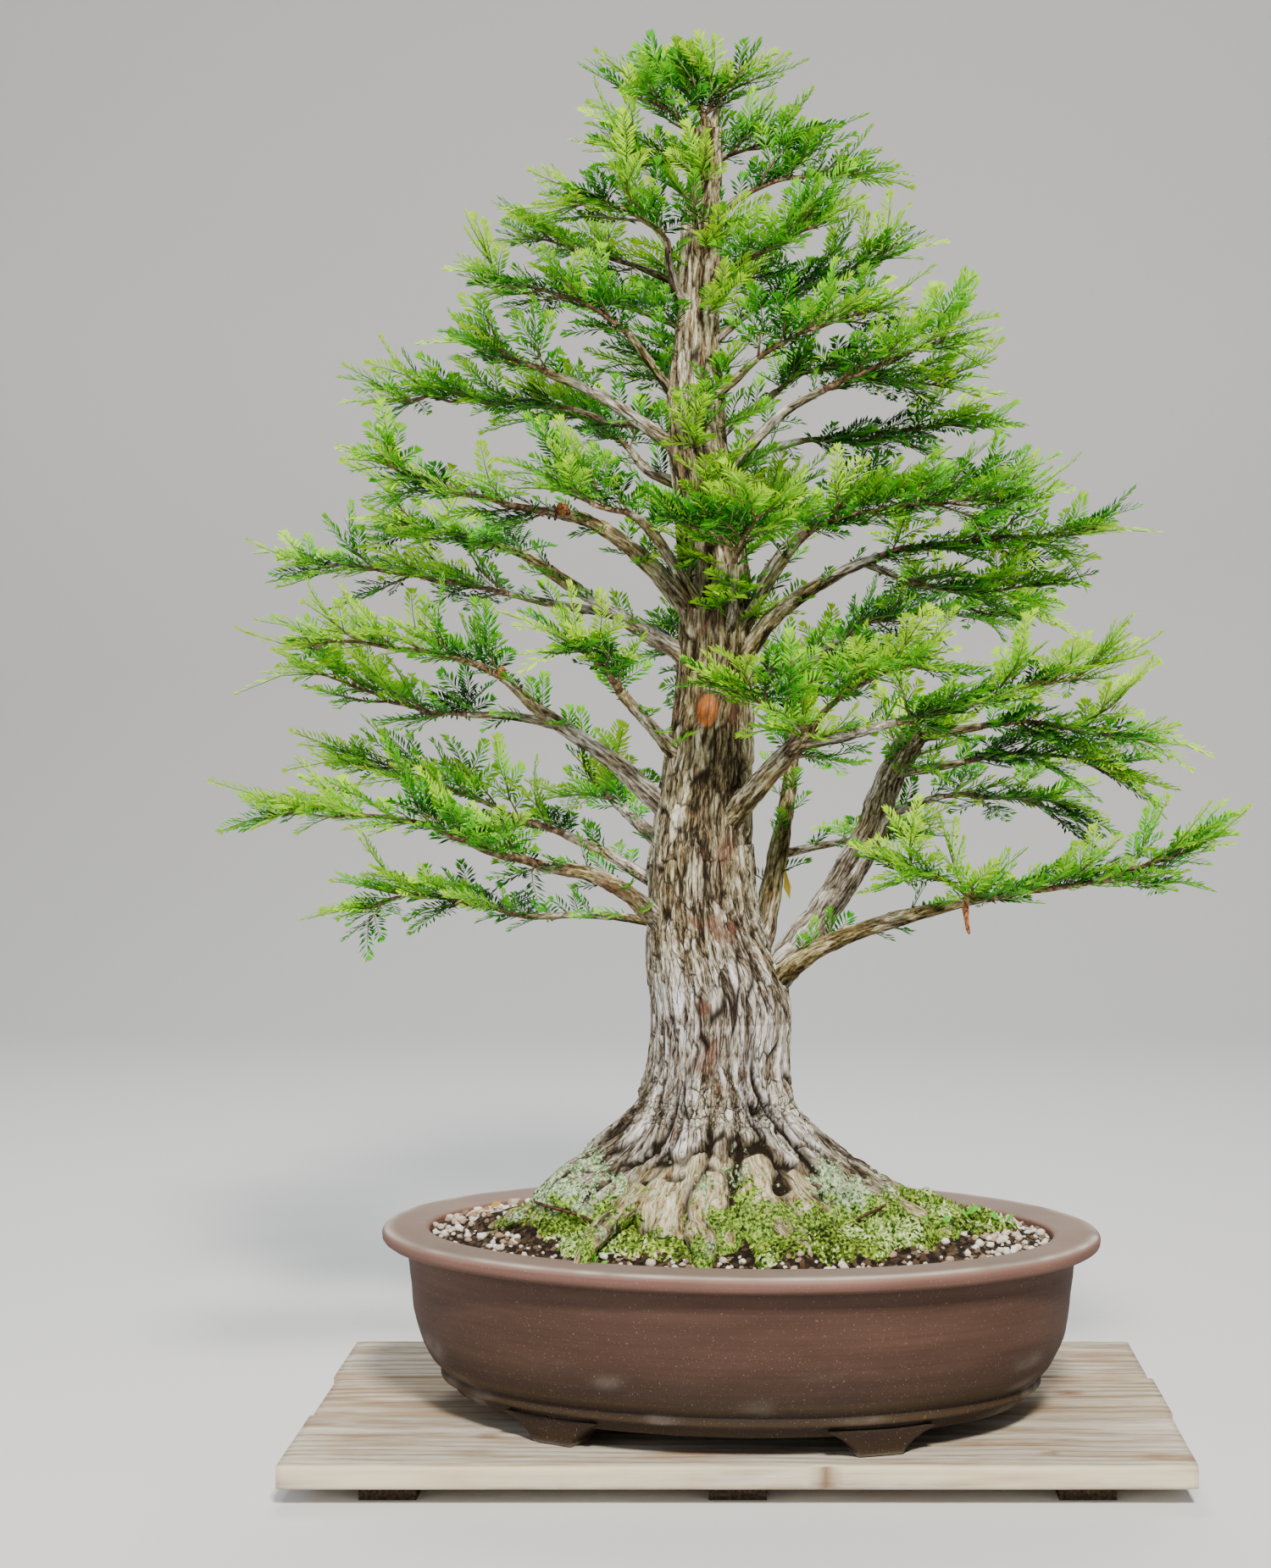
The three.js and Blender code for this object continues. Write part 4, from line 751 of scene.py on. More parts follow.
def bald_cypress_bark():
    """Weathered bark: silver-grey strip faces over tan, rust where it has flaked, and near-black painted
    shade in its cracks.
    """
    material, tree, place = new_material("bald_cypress_bark")
    along = add_node(tree, "Attribute", out="Vector", attribute_name="grain")
    bend = add_node(tree, "TexNoise", {"Vector": place, "Scale": cells(16.67), "Detail": 2.0})
    grain = add_node(tree, "VectorMath", {
        0: bend.node.outputs["Color"], 1: (3.5, 3.5, 1.0), 2: along}, operation="MULTIPLY_ADD")
    rough, silver, tone, bare, gap, scar = (
        add_node(tree, "Attribute", out="Fac", attribute_name=mark)
        for mark in ("rough", "silver", "tone", "bare", "gap", "scar"))
    fibre = add_node(tree, "TexNoise", {
        "Vector": grain, "Scale": 1 / FIBRE_WIDTH, "Detail": 5.0, "Roughness": 0.72})
    splits = add_node(tree, "TexVoronoi", {
        "Vector": grain, "Scale": 1 / FLAKE_WIDTH, "Randomness": 1.0}, feature="DISTANCE_TO_EDGE")
    split_share = add_node(tree, "MapRange", {
        "Value": splits, "From Min": 0.0, "From Max": 0.06, "To Min": 0.9, "To Max": 0.0})
    broken = add_node(tree, "MapRange", {"Value": bend, "From Min": 0.42, "From Max": 0.56, "To Min": 0.15})
    rough_share = add_node(tree, "Math", {0: rough, 1: broken}, operation="MULTIPLY")
    splits_seen = add_node(tree, "Math", {0: split_share, 1: rough_share}, operation="MULTIPLY")
    flakes = add_node(tree, "TexVoronoi", {
        "Vector": grain, "Scale": 1 / FLAKE_WIDTH, "Randomness": 1.0}, out="Color")
    flake_tone = add_node(tree, "SeparateColor", {"Color": flakes})
    tone_sum = add_node(tree, "Math", {0: fibre, 1: 2.7, 2: tone}, operation="MULTIPLY_ADD")
    tone_flaked = add_node(tree, "Math", {0: flake_tone, 1: 0.45, 2: tone_sum}, operation="MULTIPLY_ADD")
    shifted = add_node(tree, "Math", {0: tone_flaked, 1: 1.64}, operation="SUBTRACT")
    grey = add_node(tree, "ValToRGB", {"Fac": shifted}, stops=[
        (0.0, "#2B241C"), (0.18, "#5E5344"), (0.38, "#8B8070"), (0.58, "#B5AEA1"), (0.78, "#DAD7D0"),
        (1.0, "#F6F5F2")])
    tan = add_node(tree, "ValToRGB", {"Fac": shifted}, stops=[
        (0.0, "#1F180C"), (0.18, "#4E4022"), (0.38, "#796A41"), (0.58, "#9D9062"), (0.78, "#C2B78D"),
        (1.0, "#E4DFCC")])
    skin = add_node(tree, "Mix", {0: silver, 6: tan, 7: grey}, out=2, data_type="RGBA")
    patch = add_node(tree, "TexNoise", {"Vector": place, "Scale": cells(23.8), "Detail": 5.0})
    rust_share = add_node(tree, "MapRange", {
        "Value": patch, "From Min": 0.58, "From Max": 0.66, "To Max": 0.5})
    bare_wood = add_node(tree, "ValToRGB", {"Fac": fibre}, stops=[
        (0.34, "#2E2416"), (0.42, "#87714A"), (0.5, "#BFB088"), (0.6, "#E2DAC0"), (0.7, "#F3F0E4")])
    # Painted shade: the crevices marked on the wood and the pattern's splits are painted near-black.
    painted_shade_share = add_node(tree, "Math", {0: gap, 1: splits_seen}, operation="MAXIMUM")
    for share, over in ((rust_share, linear("#7A4F3C")), (bare, bare_wood), (painted_shade_share, linear("#241B12")),
                        (scar, linear("#B4621F"))):
        skin = add_node(tree, "Mix", {0: share, 6: skin, 7: over}, out=2, data_type="RGBA")
    crust = add_node(tree, "TexNoise", {
        "Vector": place, "Scale": cells(7.7), "Detail": 6.0, "Roughness": 0.75})
    lobes = add_node(tree, "TexNoise", {
        "Vector": place, "Scale": cells(2.38), "Detail": 4.0, "Roughness": 0.7})
    for growth, *tones in (("lichen", "#3F5A34", "#94B17C", "#D8E6C6"),
                           ("moss", "#16240A", "#5E8722", "#B4CF52")):
        cover = add_node(tree, "Attribute", out="Fac", attribute_name=growth)
        edge = add_node(tree, "Math", {0: crust, 1: 1.6, 2: cover}, operation="MULTIPLY_ADD")
        share = add_node(tree, "MapRange", {
            "Value": edge, "From Min": 1.22, "From Max": 1.27, "To Max": 0.95})
        tint = add_node(tree, "ValToRGB", {"Fac": lobes}, stops=zip((0.4, 0.5, 0.6), tones))
        skin = add_node(tree, "Mix", {0: share, 6: skin, 7: tint}, out=2, data_type="RGBA")
    relief = add_node(tree, "Math", {0: splits_seen, 1: -1.0, 2: fibre}, operation="MULTIPLY_ADD")
    surface(tree, skin, relief, 1.8, roughness=0.9, specular_ior_level=0.15)
    return material


PLANTING = POT_CENTRE                 # the tree is drawn about the pot's centre
bark = bald_cypress_bark()


def barked_piece(name, rings, **marks):
    """A closed tube of wood in the pot, clad in bark or bared by its marks."""
    return new_piece(name, rings + PLANTING, tube_faces(*rings.shape[:2]), bark, "bark", ["wood"], **marks)


def along_grain(angle, girth, run):
    """Each point's place round the wood and along it, so that the fibres run lengthwise."""
    return np.stack([girth * np.cos(angle), girth * np.sin(angle), run + 0 * angle], -1)


def wound_on(angle, level, reach):
    """How far each point is from the middle of the pruning wound, where 1 is its edge."""
    height, bearing, half_width, half_height = WOUND
    aside = np.radians(bearing_off(angle, bearing)) * reach
    return np.hypot(aside / half_width, (level - height) / half_height)


def fissured(angle, level, reach):
    """How deep the long splits between the root ridges are at each point."""
    depth_here = 0
    for foot_bearing, head_bearing, head, depth in FISSURES:
        up = np.clip((level - 170) / (head - 170), 0, 1)
        bearing = foot_bearing + (head_bearing - foot_bearing) * up + 3 * np.sin(level / 11)
        aside = np.radians(bearing_off(angle, bearing)) * reach
        width = 1.4 + 2.4 * (1 - up)
        depth_here = depth_here + 1.5 * depth * (1 - up) ** 0.35 * np.exp(-(aside / width) ** 2)
    return depth_here


def trunk_piece(name, low, high, columns, row_step, strips, strip_length, seed):
    """The trunk between two heights, as a closed grid of points with its bark raised from it."""
    fine = np.arange(low, high + 0.25, 0.5)
    half = trunk_middle_and_half(fine)[1]
    travelled = np.concatenate([[0], np.cumsum(np.hypot(np.diff(fine), np.diff(half)))])
    run = np.linspace(0, travelled[-1], int(travelled[-1] / row_step))[:, None]
    level = np.interp(run, travelled, fine)
    turns = (np.arange(columns) / columns)[None] + 0 * level
    angle = turns * 2 * np.pi
    cosine, sine = np.cos(angle), np.sin(angle)
    middle, half = trunk_middle_and_half(level)
    slope = -(trunk_middle_and_half(level + 1)[1] - trunk_middle_and_half(level - 1)[1]) / 2
    reach = trunk_reach(angle, level)
    spot = np.stack([middle + reach * cosine, DEPTH_RATIO * reach * sine, level + 0 * angle], -1)

    # Strips of bark and the smaller chips on them, down to the ragged edge of the skirt.
    beside = smooth(0.45, 0.85, np.abs(cosine))
    ragged = ripple(spot * [1, 1, 0.1], (9, 9, 40), seed + 1) - 0.5
    skirt_end = 217 - 40 * beside - 14 * (sine > 0) + 30 * ragged
    barked = smooth(-1.6, 1.6, level - skirt_end)
    wavy = turns + 1.3 / strips * (ripple(spot, (34, 34, 70), seed + 2) - 0.5)
    wavy = wavy + 0.7 / strips * (ripple(spot, (9, 9, 15), seed + 3) - 0.5)
    strip_run = run + 12 * ripple(spot, (11, 11, 30), seed + 3)
    crack, tone, down = plates(wavy, strip_run, strips, strip_length, seed)
    chip_run = run + 5 * ripple(spot, (5, 5, 9), seed + 4)
    chip, chip_tone, chip_down = plates(wavy, chip_run, strips * 2, strip_length / 2.2, seed + 4)
    upright = ripple(spot, (1.6, 1.6, 22), seed + 5) - 0.5
    strip, flake = smooth(0.02, 0.13, crack), smooth(0.03, 0.14, chip)
    raised = 2.4 * strip * (0.35 + 0.9 * tone) + 1.5 * np.clip(down, 0, 0.7)
    raised += 1.1 * flake * (0.3 + chip_tone) + 1.1 * np.clip(chip_down, 0, 0.6) * (chip_tone > 0.4)
    raised += 0.9 * upright

    # Bare root wood below the skirt, fissures, and the healed wound with its rolled callus.
    lumps = 3.0 * (ripple(spot, (24, 24, 34), seed + 6) - 0.5)
    fissure = fissured(angle, level, reach)
    streaks = np.stack([turns * 110, 0 * turns, run / 48 + 0 * turns], -1)
    striation = 3.0 * (ripple(streaks, 1, seed + 7) - 0.5)
    knobs = 6 * (ripple(spot, (9, 9, 13), seed + 11) - 0.5)
    pockets = smooth(0.6, 0.7, ripple(spot, (15, 15, 10), seed + 13)) * (1 - barked)
    lift = lumps - fissure - 4 * pockets + barked * (raised + 1.6)
    lift += (1 - barked) * (striation + knobs + upright)
    from_wound = wound_on(angle, level, reach)
    callus = np.exp(-((from_wound - 1.3) / 0.3) ** 2)
    wound_rim_shade = np.exp(-((from_wound - 1.05) / 0.14) ** 2)
    hollow = 1 - smooth(0.8, 1.1, from_wound)
    calm = 1 - smooth(1.1, 1.8, from_wound)
    lift = lift * (1 - calm) + 3.0 * callus - 2.2 * hollow + 0.5 * hollow * np.cos(9 * from_wound)
    out, up = 1 / np.hypot(1, slope), slope / np.hypot(1, slope)
    points = spot[..., :2] + (lift * out)[..., None] * np.stack([cosine, sine], -1)
    points = np.concatenate([points, (level + lift * up)[..., None]], -1)

    # What grows on it, how it is weathered, and its painted shade and painted highlight.
    foot = 1 - smooth(190, 248, level)
    front = np.exp(-(bearing_off(angle, -78) / 8) ** 2) * (1 - smooth(198, 214, level))
    moss = (1 - smooth(172, 204, level)) * (0.14 + 0.6 * ripple(spot, 15, seed + 9))
    weathered = np.clip(0.3 + 1.3 * ripple(spot, (22, 22, 60), seed + 12), 0, 1)
    # Painted shade: the cracks between strips, the fissures, the pockets by the roots, a band under the
    # skirt's edge and the rim round the wound are darkened.
    shadow_under_skirt = np.exp(-((level - skirt_end + 2.4) / 2.6) ** 2) * (level > 180)
    gap = barked * (1 - strip * (0.72 + 0.28 * flake)) * (1 - calm) + 0.3 * fissure + 0.9 * shadow_under_skirt
    gap = gap + 0.9 * pockets + 0.85 * wound_rim_shade
    # Painted highlight: the front of the trunk from 205 to 300 mm high, facing the key lamp, is painted
    # lighter.
    sunlit = (-sine > 0.5) * (level < 300) * (level > 205)
    lit = 0.5 + 0.42 * (tone - 0.5) + 0.3 * (chip_tone - 0.5) + 0.14 * sunlit
    barked_piece(
        name, points, gap=np.clip(gap * 0.95, 0, 1), tone=np.clip(lit, 0, 1), bare=(1 - barked) * 0.85,
        scar=hollow * (0.72 + 0.2 * np.cos(9 * from_wound)), moss=moss + 0.1 * foot + 0.34 * front,
        lichen=foot * (0.66 * ripple(spot, (20, 20, 14), seed + 8) + 0.14 * beside),
        silver=(1 - 0.7 * smooth(300, 470, level)) * weathered,
        rough=(0.4 + 0.6 * barked) * (1 - 0.5 * smooth(430, 560, level)),
        grain=along_grain(angle, np.minimum(half, 62), run * 0.1))


trunk_piece("trunk_foot", 139, 424, 300, 1.7, 38, 84, 201)
trunk_piece("trunk_top", 414, 930, 112, 2.2, 17, 60, 202)

# Limbs: grown from the trunk and wired into place over years, with a swollen collar where each
# leaves it. Their thin bark is silvery over tan and painted paler on top as painted light; a few were cut
# back.
# Each limb: name, radius at its foot, radius where its leafy end begins, the point of its route where
# that is, the route, and then the routes of any forks.
LIMBS = [
    ("left_01", 3.4, 2.0, 3,
        [[-40, 10, 364], [-83, 34, 370], [-120, 60, 370], [-160, 85, 367], [-192, 104, 374],
         [-232, 118, 379], [-268, 122, 376], [-306, 118, 364]]),
    ("left_02", 8, 3.4, 4,
        [[-36, 2, 352], [-60, -20, 376], [-76, -40, 392], [-100, -65, 407], [-133, -88, 415],
         [-165, -108, 426], [-208, -128, 443], [-258, -148, 452], [-310, -160, 457]]),
    ("left_03", 5.2, 2.7, 3,
        [[-36, 8, 384], [-68, 16, 401], [-95, 30, 416], [-126, 44, 429], [-170, 60, 444], [-216, 74, 462],
         [-262, 84, 478], [-300, 90, 482]]),
    ("left_04", 8, 3, 5,
        [[-30, 5, 434], [-57, 4, 454], [-88, 0, 483], [-120, -5, 505], [-140, -10, 519], [-166, -14, 543],
         [-198, -20, 555], [-238, -25, 562], [-280, -30, 566], [-312, -30, 562]]),
    ("left_05", 3.2, 2.2, 2,
        [[-126, -6, 509], [-162, 10, 515], [-194, 28, 516], [-227, 44, 519], [-262, 54, 529],
         [-295, 60, 543], [-336, 60, 546]]),
    ("left_06", 6, 3, 3,
        [[-26, -4, 470], [-46, -16, 491], [-61, -40, 509], [-80, -68, 532], [-91, -90, 549],
         [-103, -105, 558], [-130, -120, 567]]),
    ("left_07", 7.4, 3, 5,
        [[-20, 0, 541], [-42, 0, 560], [-69, 5, 577], [-97, 10, 594], [-127, 20, 613], [-155, 30, 631],
         [-193, 40, 644], [-230, 46, 653], [-268, 50, 655]]),
    ("left_08", 3.6, 2.2, 3,
        [[-84, 8, 587], [-112, 28, 592], [-139, 44, 597], [-167, 60, 604], [-204, 74, 612], [-255, 84, 620],
         [-300, 90, 628], [-338, 90, 628]]),
    ("left_09", 7.6, 3, 5,
        [[-16, 0, 562], [-33, -5, 586], [-59, -15, 618], [-80, -25, 636], [-103, -35, 650],
         [-131, -45, 656], [-160, -54, 661], [-194, -60, 670], [-227, -65, 681], [-256, -70, 691]]),
    ("left_10", 5.2, 2.4, 4,
        [[-16, -5, 577], [-29, -16, 594], [-46, -36, 622], [-60, -55, 643], [-74, -70, 653],
         [-95, -84, 658], [-112, -96, 672], [-112, -104, 698]]),
    ("left_11", 5.2, 2.3, 3,
        [[-22, 4, 666], [-42, 15, 679], [-67, 38, 693], [-81, 58, 710], [-101, 78, 728], [-130, 94, 740],
         [-163, 104, 752]]),
    ("left_12", 6, 2.7, 4,
        [[-28, 0, 690], [-45, -5, 705], [-74, -10, 725], [-103, -15, 743], [-133, -20, 755],
         [-162, -25, 766], [-192, -30, 778]]),
    ("left_13", 2.8, 1.8, 2,
        [[-66, -9, 720], [-90, 14, 724], [-119, 36, 736], [-151, 50, 744], [-189, 55, 744], [-232, 55, 747],
         [-262, 55, 745]]),
    ("left_14", 4.2, 2.1, 3,
        [[-31, 0, 731], [-47, -5, 744], [-63, -19, 764], [-77, -30, 781], [-101, -40, 797],
         [-131, -45, 808], [-159, -50, 812], [-182, -50, 815]]),
    ("left_15", 3.2, 1.9, 2,
        [[-31, 2, 781], [-45, 20, 794], [-65, 48, 806], [-91, 74, 818], [-118, 92, 822]]),
    ("left_16", 4, 2, 3,
        [[-28, -2, 803], [-42, -12, 811], [-48, -25, 829], [-50, -33, 846], [-64, -42, 857],
         [-82, -50, 865], [-107, -57, 866], [-136, -60, 862]]),
    ("left_17", 3.4, 1.9, 2,
        [[-27, 3, 814], [-46, 7, 823], [-72, 14, 835], [-95, 20, 843], [-119, 24, 850], [-146, 26, 857],
         [-168, 25, 852]]),
    ("left_18", 2.6, 1.6, 1,
        [[-23, 0, 892], [-38, -5, 902], [-57, -10, 906], [-77, -14, 910], [-96, -16, 909]]),
    ("left_19", 2.2, 1.5, 1,
        [[-22, 0, 914], [-36, -7, 928], [-50, -14, 940], [-66, -18, 950], [-82, -20, 955]]),
    ("right_01", 8.4, 3.2, 5,
        [[6, -2, 312], [30, -15, 334], [54, -25, 352], [87, -35, 367], [121, -45, 378], [156, -53, 387],
         [202, -63, 396], [242, -70, 402], [287, -75, 418], [329, -80, 431]],
        [[162, -54, 388], [142, -62, 402], [118, -67, 411], [90, -71, 417]]),
    ("right_02", 12.5, 8, 7,
        [[0, 2, 300], [30, 0, 338], [54, 0, 368], [75, 0, 401], [93, 0, 434], [105, 0, 467], [117, -5, 491],
         [127, -9, 506]]),
    ("right_03", 3.8, 2.2, 2,
        [[108, -1, 474], [134, -8, 478], [159, -14, 483], [189, -20, 489], [221, -24, 487], [252, -27, 482],
         [285, -28, 473]]),
    ("right_04", 3.4, 2, 2,
        [[97, 2, 444], [122, 20, 450], [146, 40, 457], [188, 60, 457], [220, 71, 453], [252, 76, 447]]),
    ("right_05", 4.2, 2.3, 2,
        [[123, -8, 499], [144, -16, 503], [170, -26, 508], [199, -36, 511], [233, -42, 509],
         [262, -46, 504], [292, -47, 500]]),
    ("right_06", 9, 3.2, 6,
        [[-3, 18, 320], [15, 44, 353], [24, 60, 395], [31, 70, 431], [36, 75, 462], [38, 82, 490],
         [38, 92, 512], [46, 110, 535], [64, 127, 550], [90, 138, 560]]),
    ("right_07", 3.2, 2, 2,
        [[31, 70, 414], [56, 94, 418], [78, 118, 421], [105, 136, 426], [132, 146, 430]]),
    ("right_08", 9, 6, 4,
        [[-18, -4, 430], [-3, -15, 447], [13, -30, 465], [33, -45, 488], [50, -55, 504]]),
    ("right_09", 4.6, 2.4, 3,
        [[44, -52, 497], [66, -65, 500], [86, -75, 505], [108, -82, 511], [142, -90, 520], [187, -97, 532],
         [227, -98, 542], [258, -98, 553]]),
    ("right_10", 2.8, 1.9, 2,
        [[48, -54, 502], [56, -58, 514], [66, -64, 524], [80, -77, 534], [98, -95, 542], [118, -112, 547],
         [144, -126, 549]]),
    ("right_11", 2.4, 1.6, 1,
        [[44, -54, 502], [32, -66, 513], [18, -77, 522], [2, -87, 530], [-18, -95, 537]]),
    ("right_12", 7, 2.8, 5,
        [[-8, 0, 545], [8, -5, 563], [24, -10, 584], [42, -15, 598], [67, -20, 613], [98, -26, 626],
         [129, -31, 634], [163, -36, 636], [198, -40, 640], [228, -43, 642], [259, -46, 644]]),
    ("right_13", 2.8, 1.8, 1,
        [[88, -24, 622], [110, -20, 613], [136, -16, 605], [164, -14, 601], [197, -14, 604],
         [233, -14, 611]]),
    ("right_14", 4.8, 2.5, 3,
        [[-6, 8, 538], [24, 44, 547], [50, 68, 556], [72, 86, 570], [90, 98, 583], [118, 107, 590],
         [152, 112, 595], [196, 115, 592], [246, 114, 588]]),
    ("right_15", 5.6, 2.6, 4,
        [[-8, 4, 563], [8, 10, 587], [18, 16, 612], [34, 22, 636], [56, 28, 656], [82, 34, 669],
         [116, 38, 677], [156, 40, 683], [197, 40, 686]]),
    ("right_16", 4.4, 2.2, 3,
        [[-4, -5, 570], [13, -12, 594], [30, -24, 621], [49, -38, 642], [82, -52, 654], [122, -62, 660],
         [167, -68, 661], [217, -70, 665]]),
    ("right_17", 5, 2.5, 4,
        [[-18, 0, 672], [-4, -5, 691], [13, -11, 710], [31, -17, 727], [60, -23, 743], [84, -28, 753],
         [111, -32, 764], [140, -33, 773], [167, -36, 776]]),
    ("right_18", 4.2, 2.2, 3,
        [[-18, 4, 667], [-3, 12, 686], [15, 24, 703], [46, 38, 714], [78, 48, 719], [114, 54, 723],
         [151, 58, 727], [179, 58, 726]]),
    ("right_19", 4.2, 2.1, 3,
        [[-24, 2, 702], [-10, 8, 718], [9, 14, 733], [27, 20, 747], [44, 26, 760], [70, 32, 765],
         [102, 36, 761], [138, 38, 754], [168, 38, 748]]),
    ("right_20", 4.2, 2.1, 3,
        [[-29, -2, 722], [-19, -8, 737], [-2, -17, 751], [14, -23, 765], [34, -33, 776], [58, -39, 785],
         [84, -43, 793], [114, -44, 803]]),
    ("right_21", 3.6, 2, 3,
        [[-28, 2, 764], [-18, 11, 780], [-5, 22, 794], [10, 33, 807], [34, 48, 820], [64, 58, 833],
         [95, 62, 846], [133, 62, 855]]),
    ("right_22", 3.4, 2, 2,
        [[-26, -1, 813], [-15, -7, 825], [2, -16, 833], [19, -22, 840], [37, -27, 848], [57, -31, 858],
         [79, -32, 868]]),
    ("right_23", 3.8, 2, 2,
        [[-24, 0, 861], [-11, 1, 873], [6, 1, 885], [27, 1, 893], [51, 1, 897], [73, 0, 896],
         [92, 0, 891]]),
    ("right_24", 2.6, 1.6, 1,
        [[-22, 2, 899], [-9, 7, 912], [10, 11, 920], [31, 13, 924], [53, 14, 925]]),
    ("front_01", 4, 2.2, 3,
        [[-13, -8, 562], [-5, -22, 579], [-3, -36, 601], [-2, -50, 621], [4, -66, 636], [18, -80, 652],
         [40, -90, 668]],
        [[0, -56, 627], [-14, -68, 638], [-34, -76, 648], [-52, -80, 652]]),
    ("back_01", 6, 2.8, 3,
        [[-36, 10, 404], [-60, 48, 425], [-80, 82, 440], [-94, 108, 450], [-106, 136, 457],
         [-112, 160, 460], [-114, 184, 460]]),
    ("back_02", 6, 2.8, 3,
        [[-22, 6, 498], [-30, 40, 520], [-38, 75, 540], [-42, 105, 556], [-40, 136, 567], [-32, 168, 575],
         [-18, 198, 580]]),
    ("back_03", 5, 2.4, 2,
        [[-15, 6, 610], [-5, 36, 634], [8, 66, 655], [20, 98, 671], [30, 130, 681], [36, 162, 686]]),
    ("back_04", 4, 2, 2,
        [[-30, 5, 721], [-36, 34, 742], [-46, 60, 758], [-56, 84, 770], [-64, 108, 778], [-68, 132, 781]]),
    ("back_05", 3, 1.8, 2,
        [[-28, 3, 800], [-20, 26, 816], [-10, 44, 828], [2, 64, 838], [14, 84, 844]]),
    ("top_01", 5, 2.6, 1,
        [[-22, 0, 922], [-24, -1, 938], [-32, -3, 952], [-44, -6, 967], [-58, -8, 983]],
        [[-24, -1, 940], [-14, -5, 952], [-2, -8, 960], [12, -10, 963]]),
]


def route_at(points, shares):
    """Places on the smooth curve through a route's points, at shares of the way along it."""
    knots = np.asarray(points, float)
    knots = np.vstack([2 * knots[0] - knots[1], knots, 2 * knots[-1] - knots[-2]])
    spans = len(knots) - 3
    place = np.clip(np.atleast_1d(shares), 0, 1) * spans
    span = np.minimum(place.astype(int), spans - 1)
    part = (place - span)[:, None]
    p0, p1, p2, p3 = (knots[span + step] for step in range(4))
    t0, t1, t2 = (np.sqrt(np.linalg.norm(b - a, axis=1))[:, None] for a, b in ((p0, p1), (p1, p2), (p2, p3)))
    leave = ((p1 - p0) / t0 - (p2 - p0) / (t0 + t1) + (p2 - p1) / t1) * t1
    arrive = ((p2 - p1) / t1 - (p3 - p1) / (t1 + t2) + (p3 - p2) / t2) * t1
    return (p1 + leave * part + (3 * (p2 - p1) - 2 * leave - arrive) * part ** 2
            + (2 * (p1 - p2) + leave + arrive) * part ** 3)


def unit(vectors):
    """The same directions, each one long."""
    return vectors / np.linalg.norm(vectors, axis=-1, keepdims=True)


def carried(spine):
    """The headings along a line of points, with a square pair of directions carried along it."""
    heading = unit(np.gradient(spine, axis=0))
    across = np.cross(heading[0], (0, 0, 1) if abs(heading[0, 2]) < 0.9 else (0, 1, 0))
    pairs = []
    for way in heading:
        across = across - way * (across @ way)
        across = across / np.linalg.norm(across)
        pairs.append((across, np.cross(way, across)))
    one, other = np.array(pairs).transpose(1, 0, 2)
    return heading, one, other


def round_a_line(spine, radii, sides):
    """Rings of points about a line, with the angle of each point and how far it faces up."""
    heading, one, other = carried(spine)
    angle = np.arange(sides) / sides * 2 * np.pi
    outward = one[:, None] * np.cos(angle)[:, None] + other[:, None] * np.sin(angle)[:, None]
    return spine[:, None] + outward * np.asarray(radii)[..., None], outward, angle


def length_between(route, start, end, steps=60):
    """How long a route is between two shares of the way along it."""
    return np.linalg.norm(np.diff(route_at(route, np.linspace(start, end, steps)), axis=0), axis=1).sum()


def limb_line(route, thick, cut, end):
    """The middle of a limb's wood and its radius at each step of about two millimetres."""
    length = length_between(route, 0, end)
    shares = np.linspace(0, end, max(8, int(length / 2.2)))
    radius = thick + (cut - thick) * shares / end
    return route_at(route, shares), radius * (1 + 0.35 * np.exp(-9 * shares / end)), length


STRIP_WIDTH, STRIP_LENGTH = 4.5, 17   # of the bark on limbs
for seed, (name, thick, cut, leaf_at, route, *forks) in enumerate(LIMBS):
    spine, radius, length = limb_line(route, thick, cut, leaf_at / (len(route) - 1))
    sides = 30 if thick > 8.5 else 20 if thick > 5.5 else 14    # finer rings on thicker limbs
    run = np.linspace(0, length, len(spine))[:, None]
    nodes_along = 1 + 0.16 * (ripple(np.stack([run, 0 * run, 0 * run], -1), 13, 300 + seed) - 0.5)
    rings, outward, angle = round_a_line(spine, radius[:, None] * nodes_along + np.zeros(sides), sides)
    turns = angle[None] / (2 * np.pi) + 0 * run
    strips = max(5, round(2 * math.pi * thick / STRIP_WIDTH))
    crack, tone, down = plates(turns, run + 0 * turns, strips, STRIP_LENGTH, 330 + seed)
    raised = np.clip(thick / 9, 0.25, 1.3) * (0.7 * smooth(0, 0.16, crack) + 0.4 * (tone - 0.5) + 0.5 * down)
    lumps = 0.16 * radius[:, None] * (ripple(rings, 7, 360 + seed) - 0.5)
    rings = rings + outward * (raised + lumps)[..., None]
    up = outward[..., 2]
    # Painted light: tone and silver rise on the upper side. Painted shade: the cracks between strips are
    # darkened.
    barked_piece(
        f"limb_{name}", rings, rough=0.45, tone=np.clip(0.5 + 0.25 * (tone - 0.5) + 0.2 * up, 0, 1),
        gap=(1 - smooth(0, 0.12, crack)) * np.clip(thick / 16, 0.15, 0.6),
        silver=np.clip(2.2 * (ripple(rings, 26, 390 + seed) - 0.3) + 0.2 * up, 0, 0.9),
        grain=along_grain(angle, radius[:, None], run * 0.16))

# Dead top: the old leader died back and is kept as a bare, silvered spike.
DEAD_TOP = [(-22, 1, 918), (-17, 5, 938), (-13, 7, 956), (-11, 8, 973)]
spine = route_at(DEAD_TOP, np.linspace(0, 1, 30))
rings, outward, _ = round_a_line(spine, np.linspace(3.6, 1.4, 30)[:, None] + np.zeros(12), 12)
rings += outward * (1.1 * (ripple(rings * [1, 1, 0.15], 1.8, 391) - 0.5))[..., None]
barked_piece("dead_top", rings, tone=0.75, bare=0.35, grain=rings * [1, 1, 0.16])

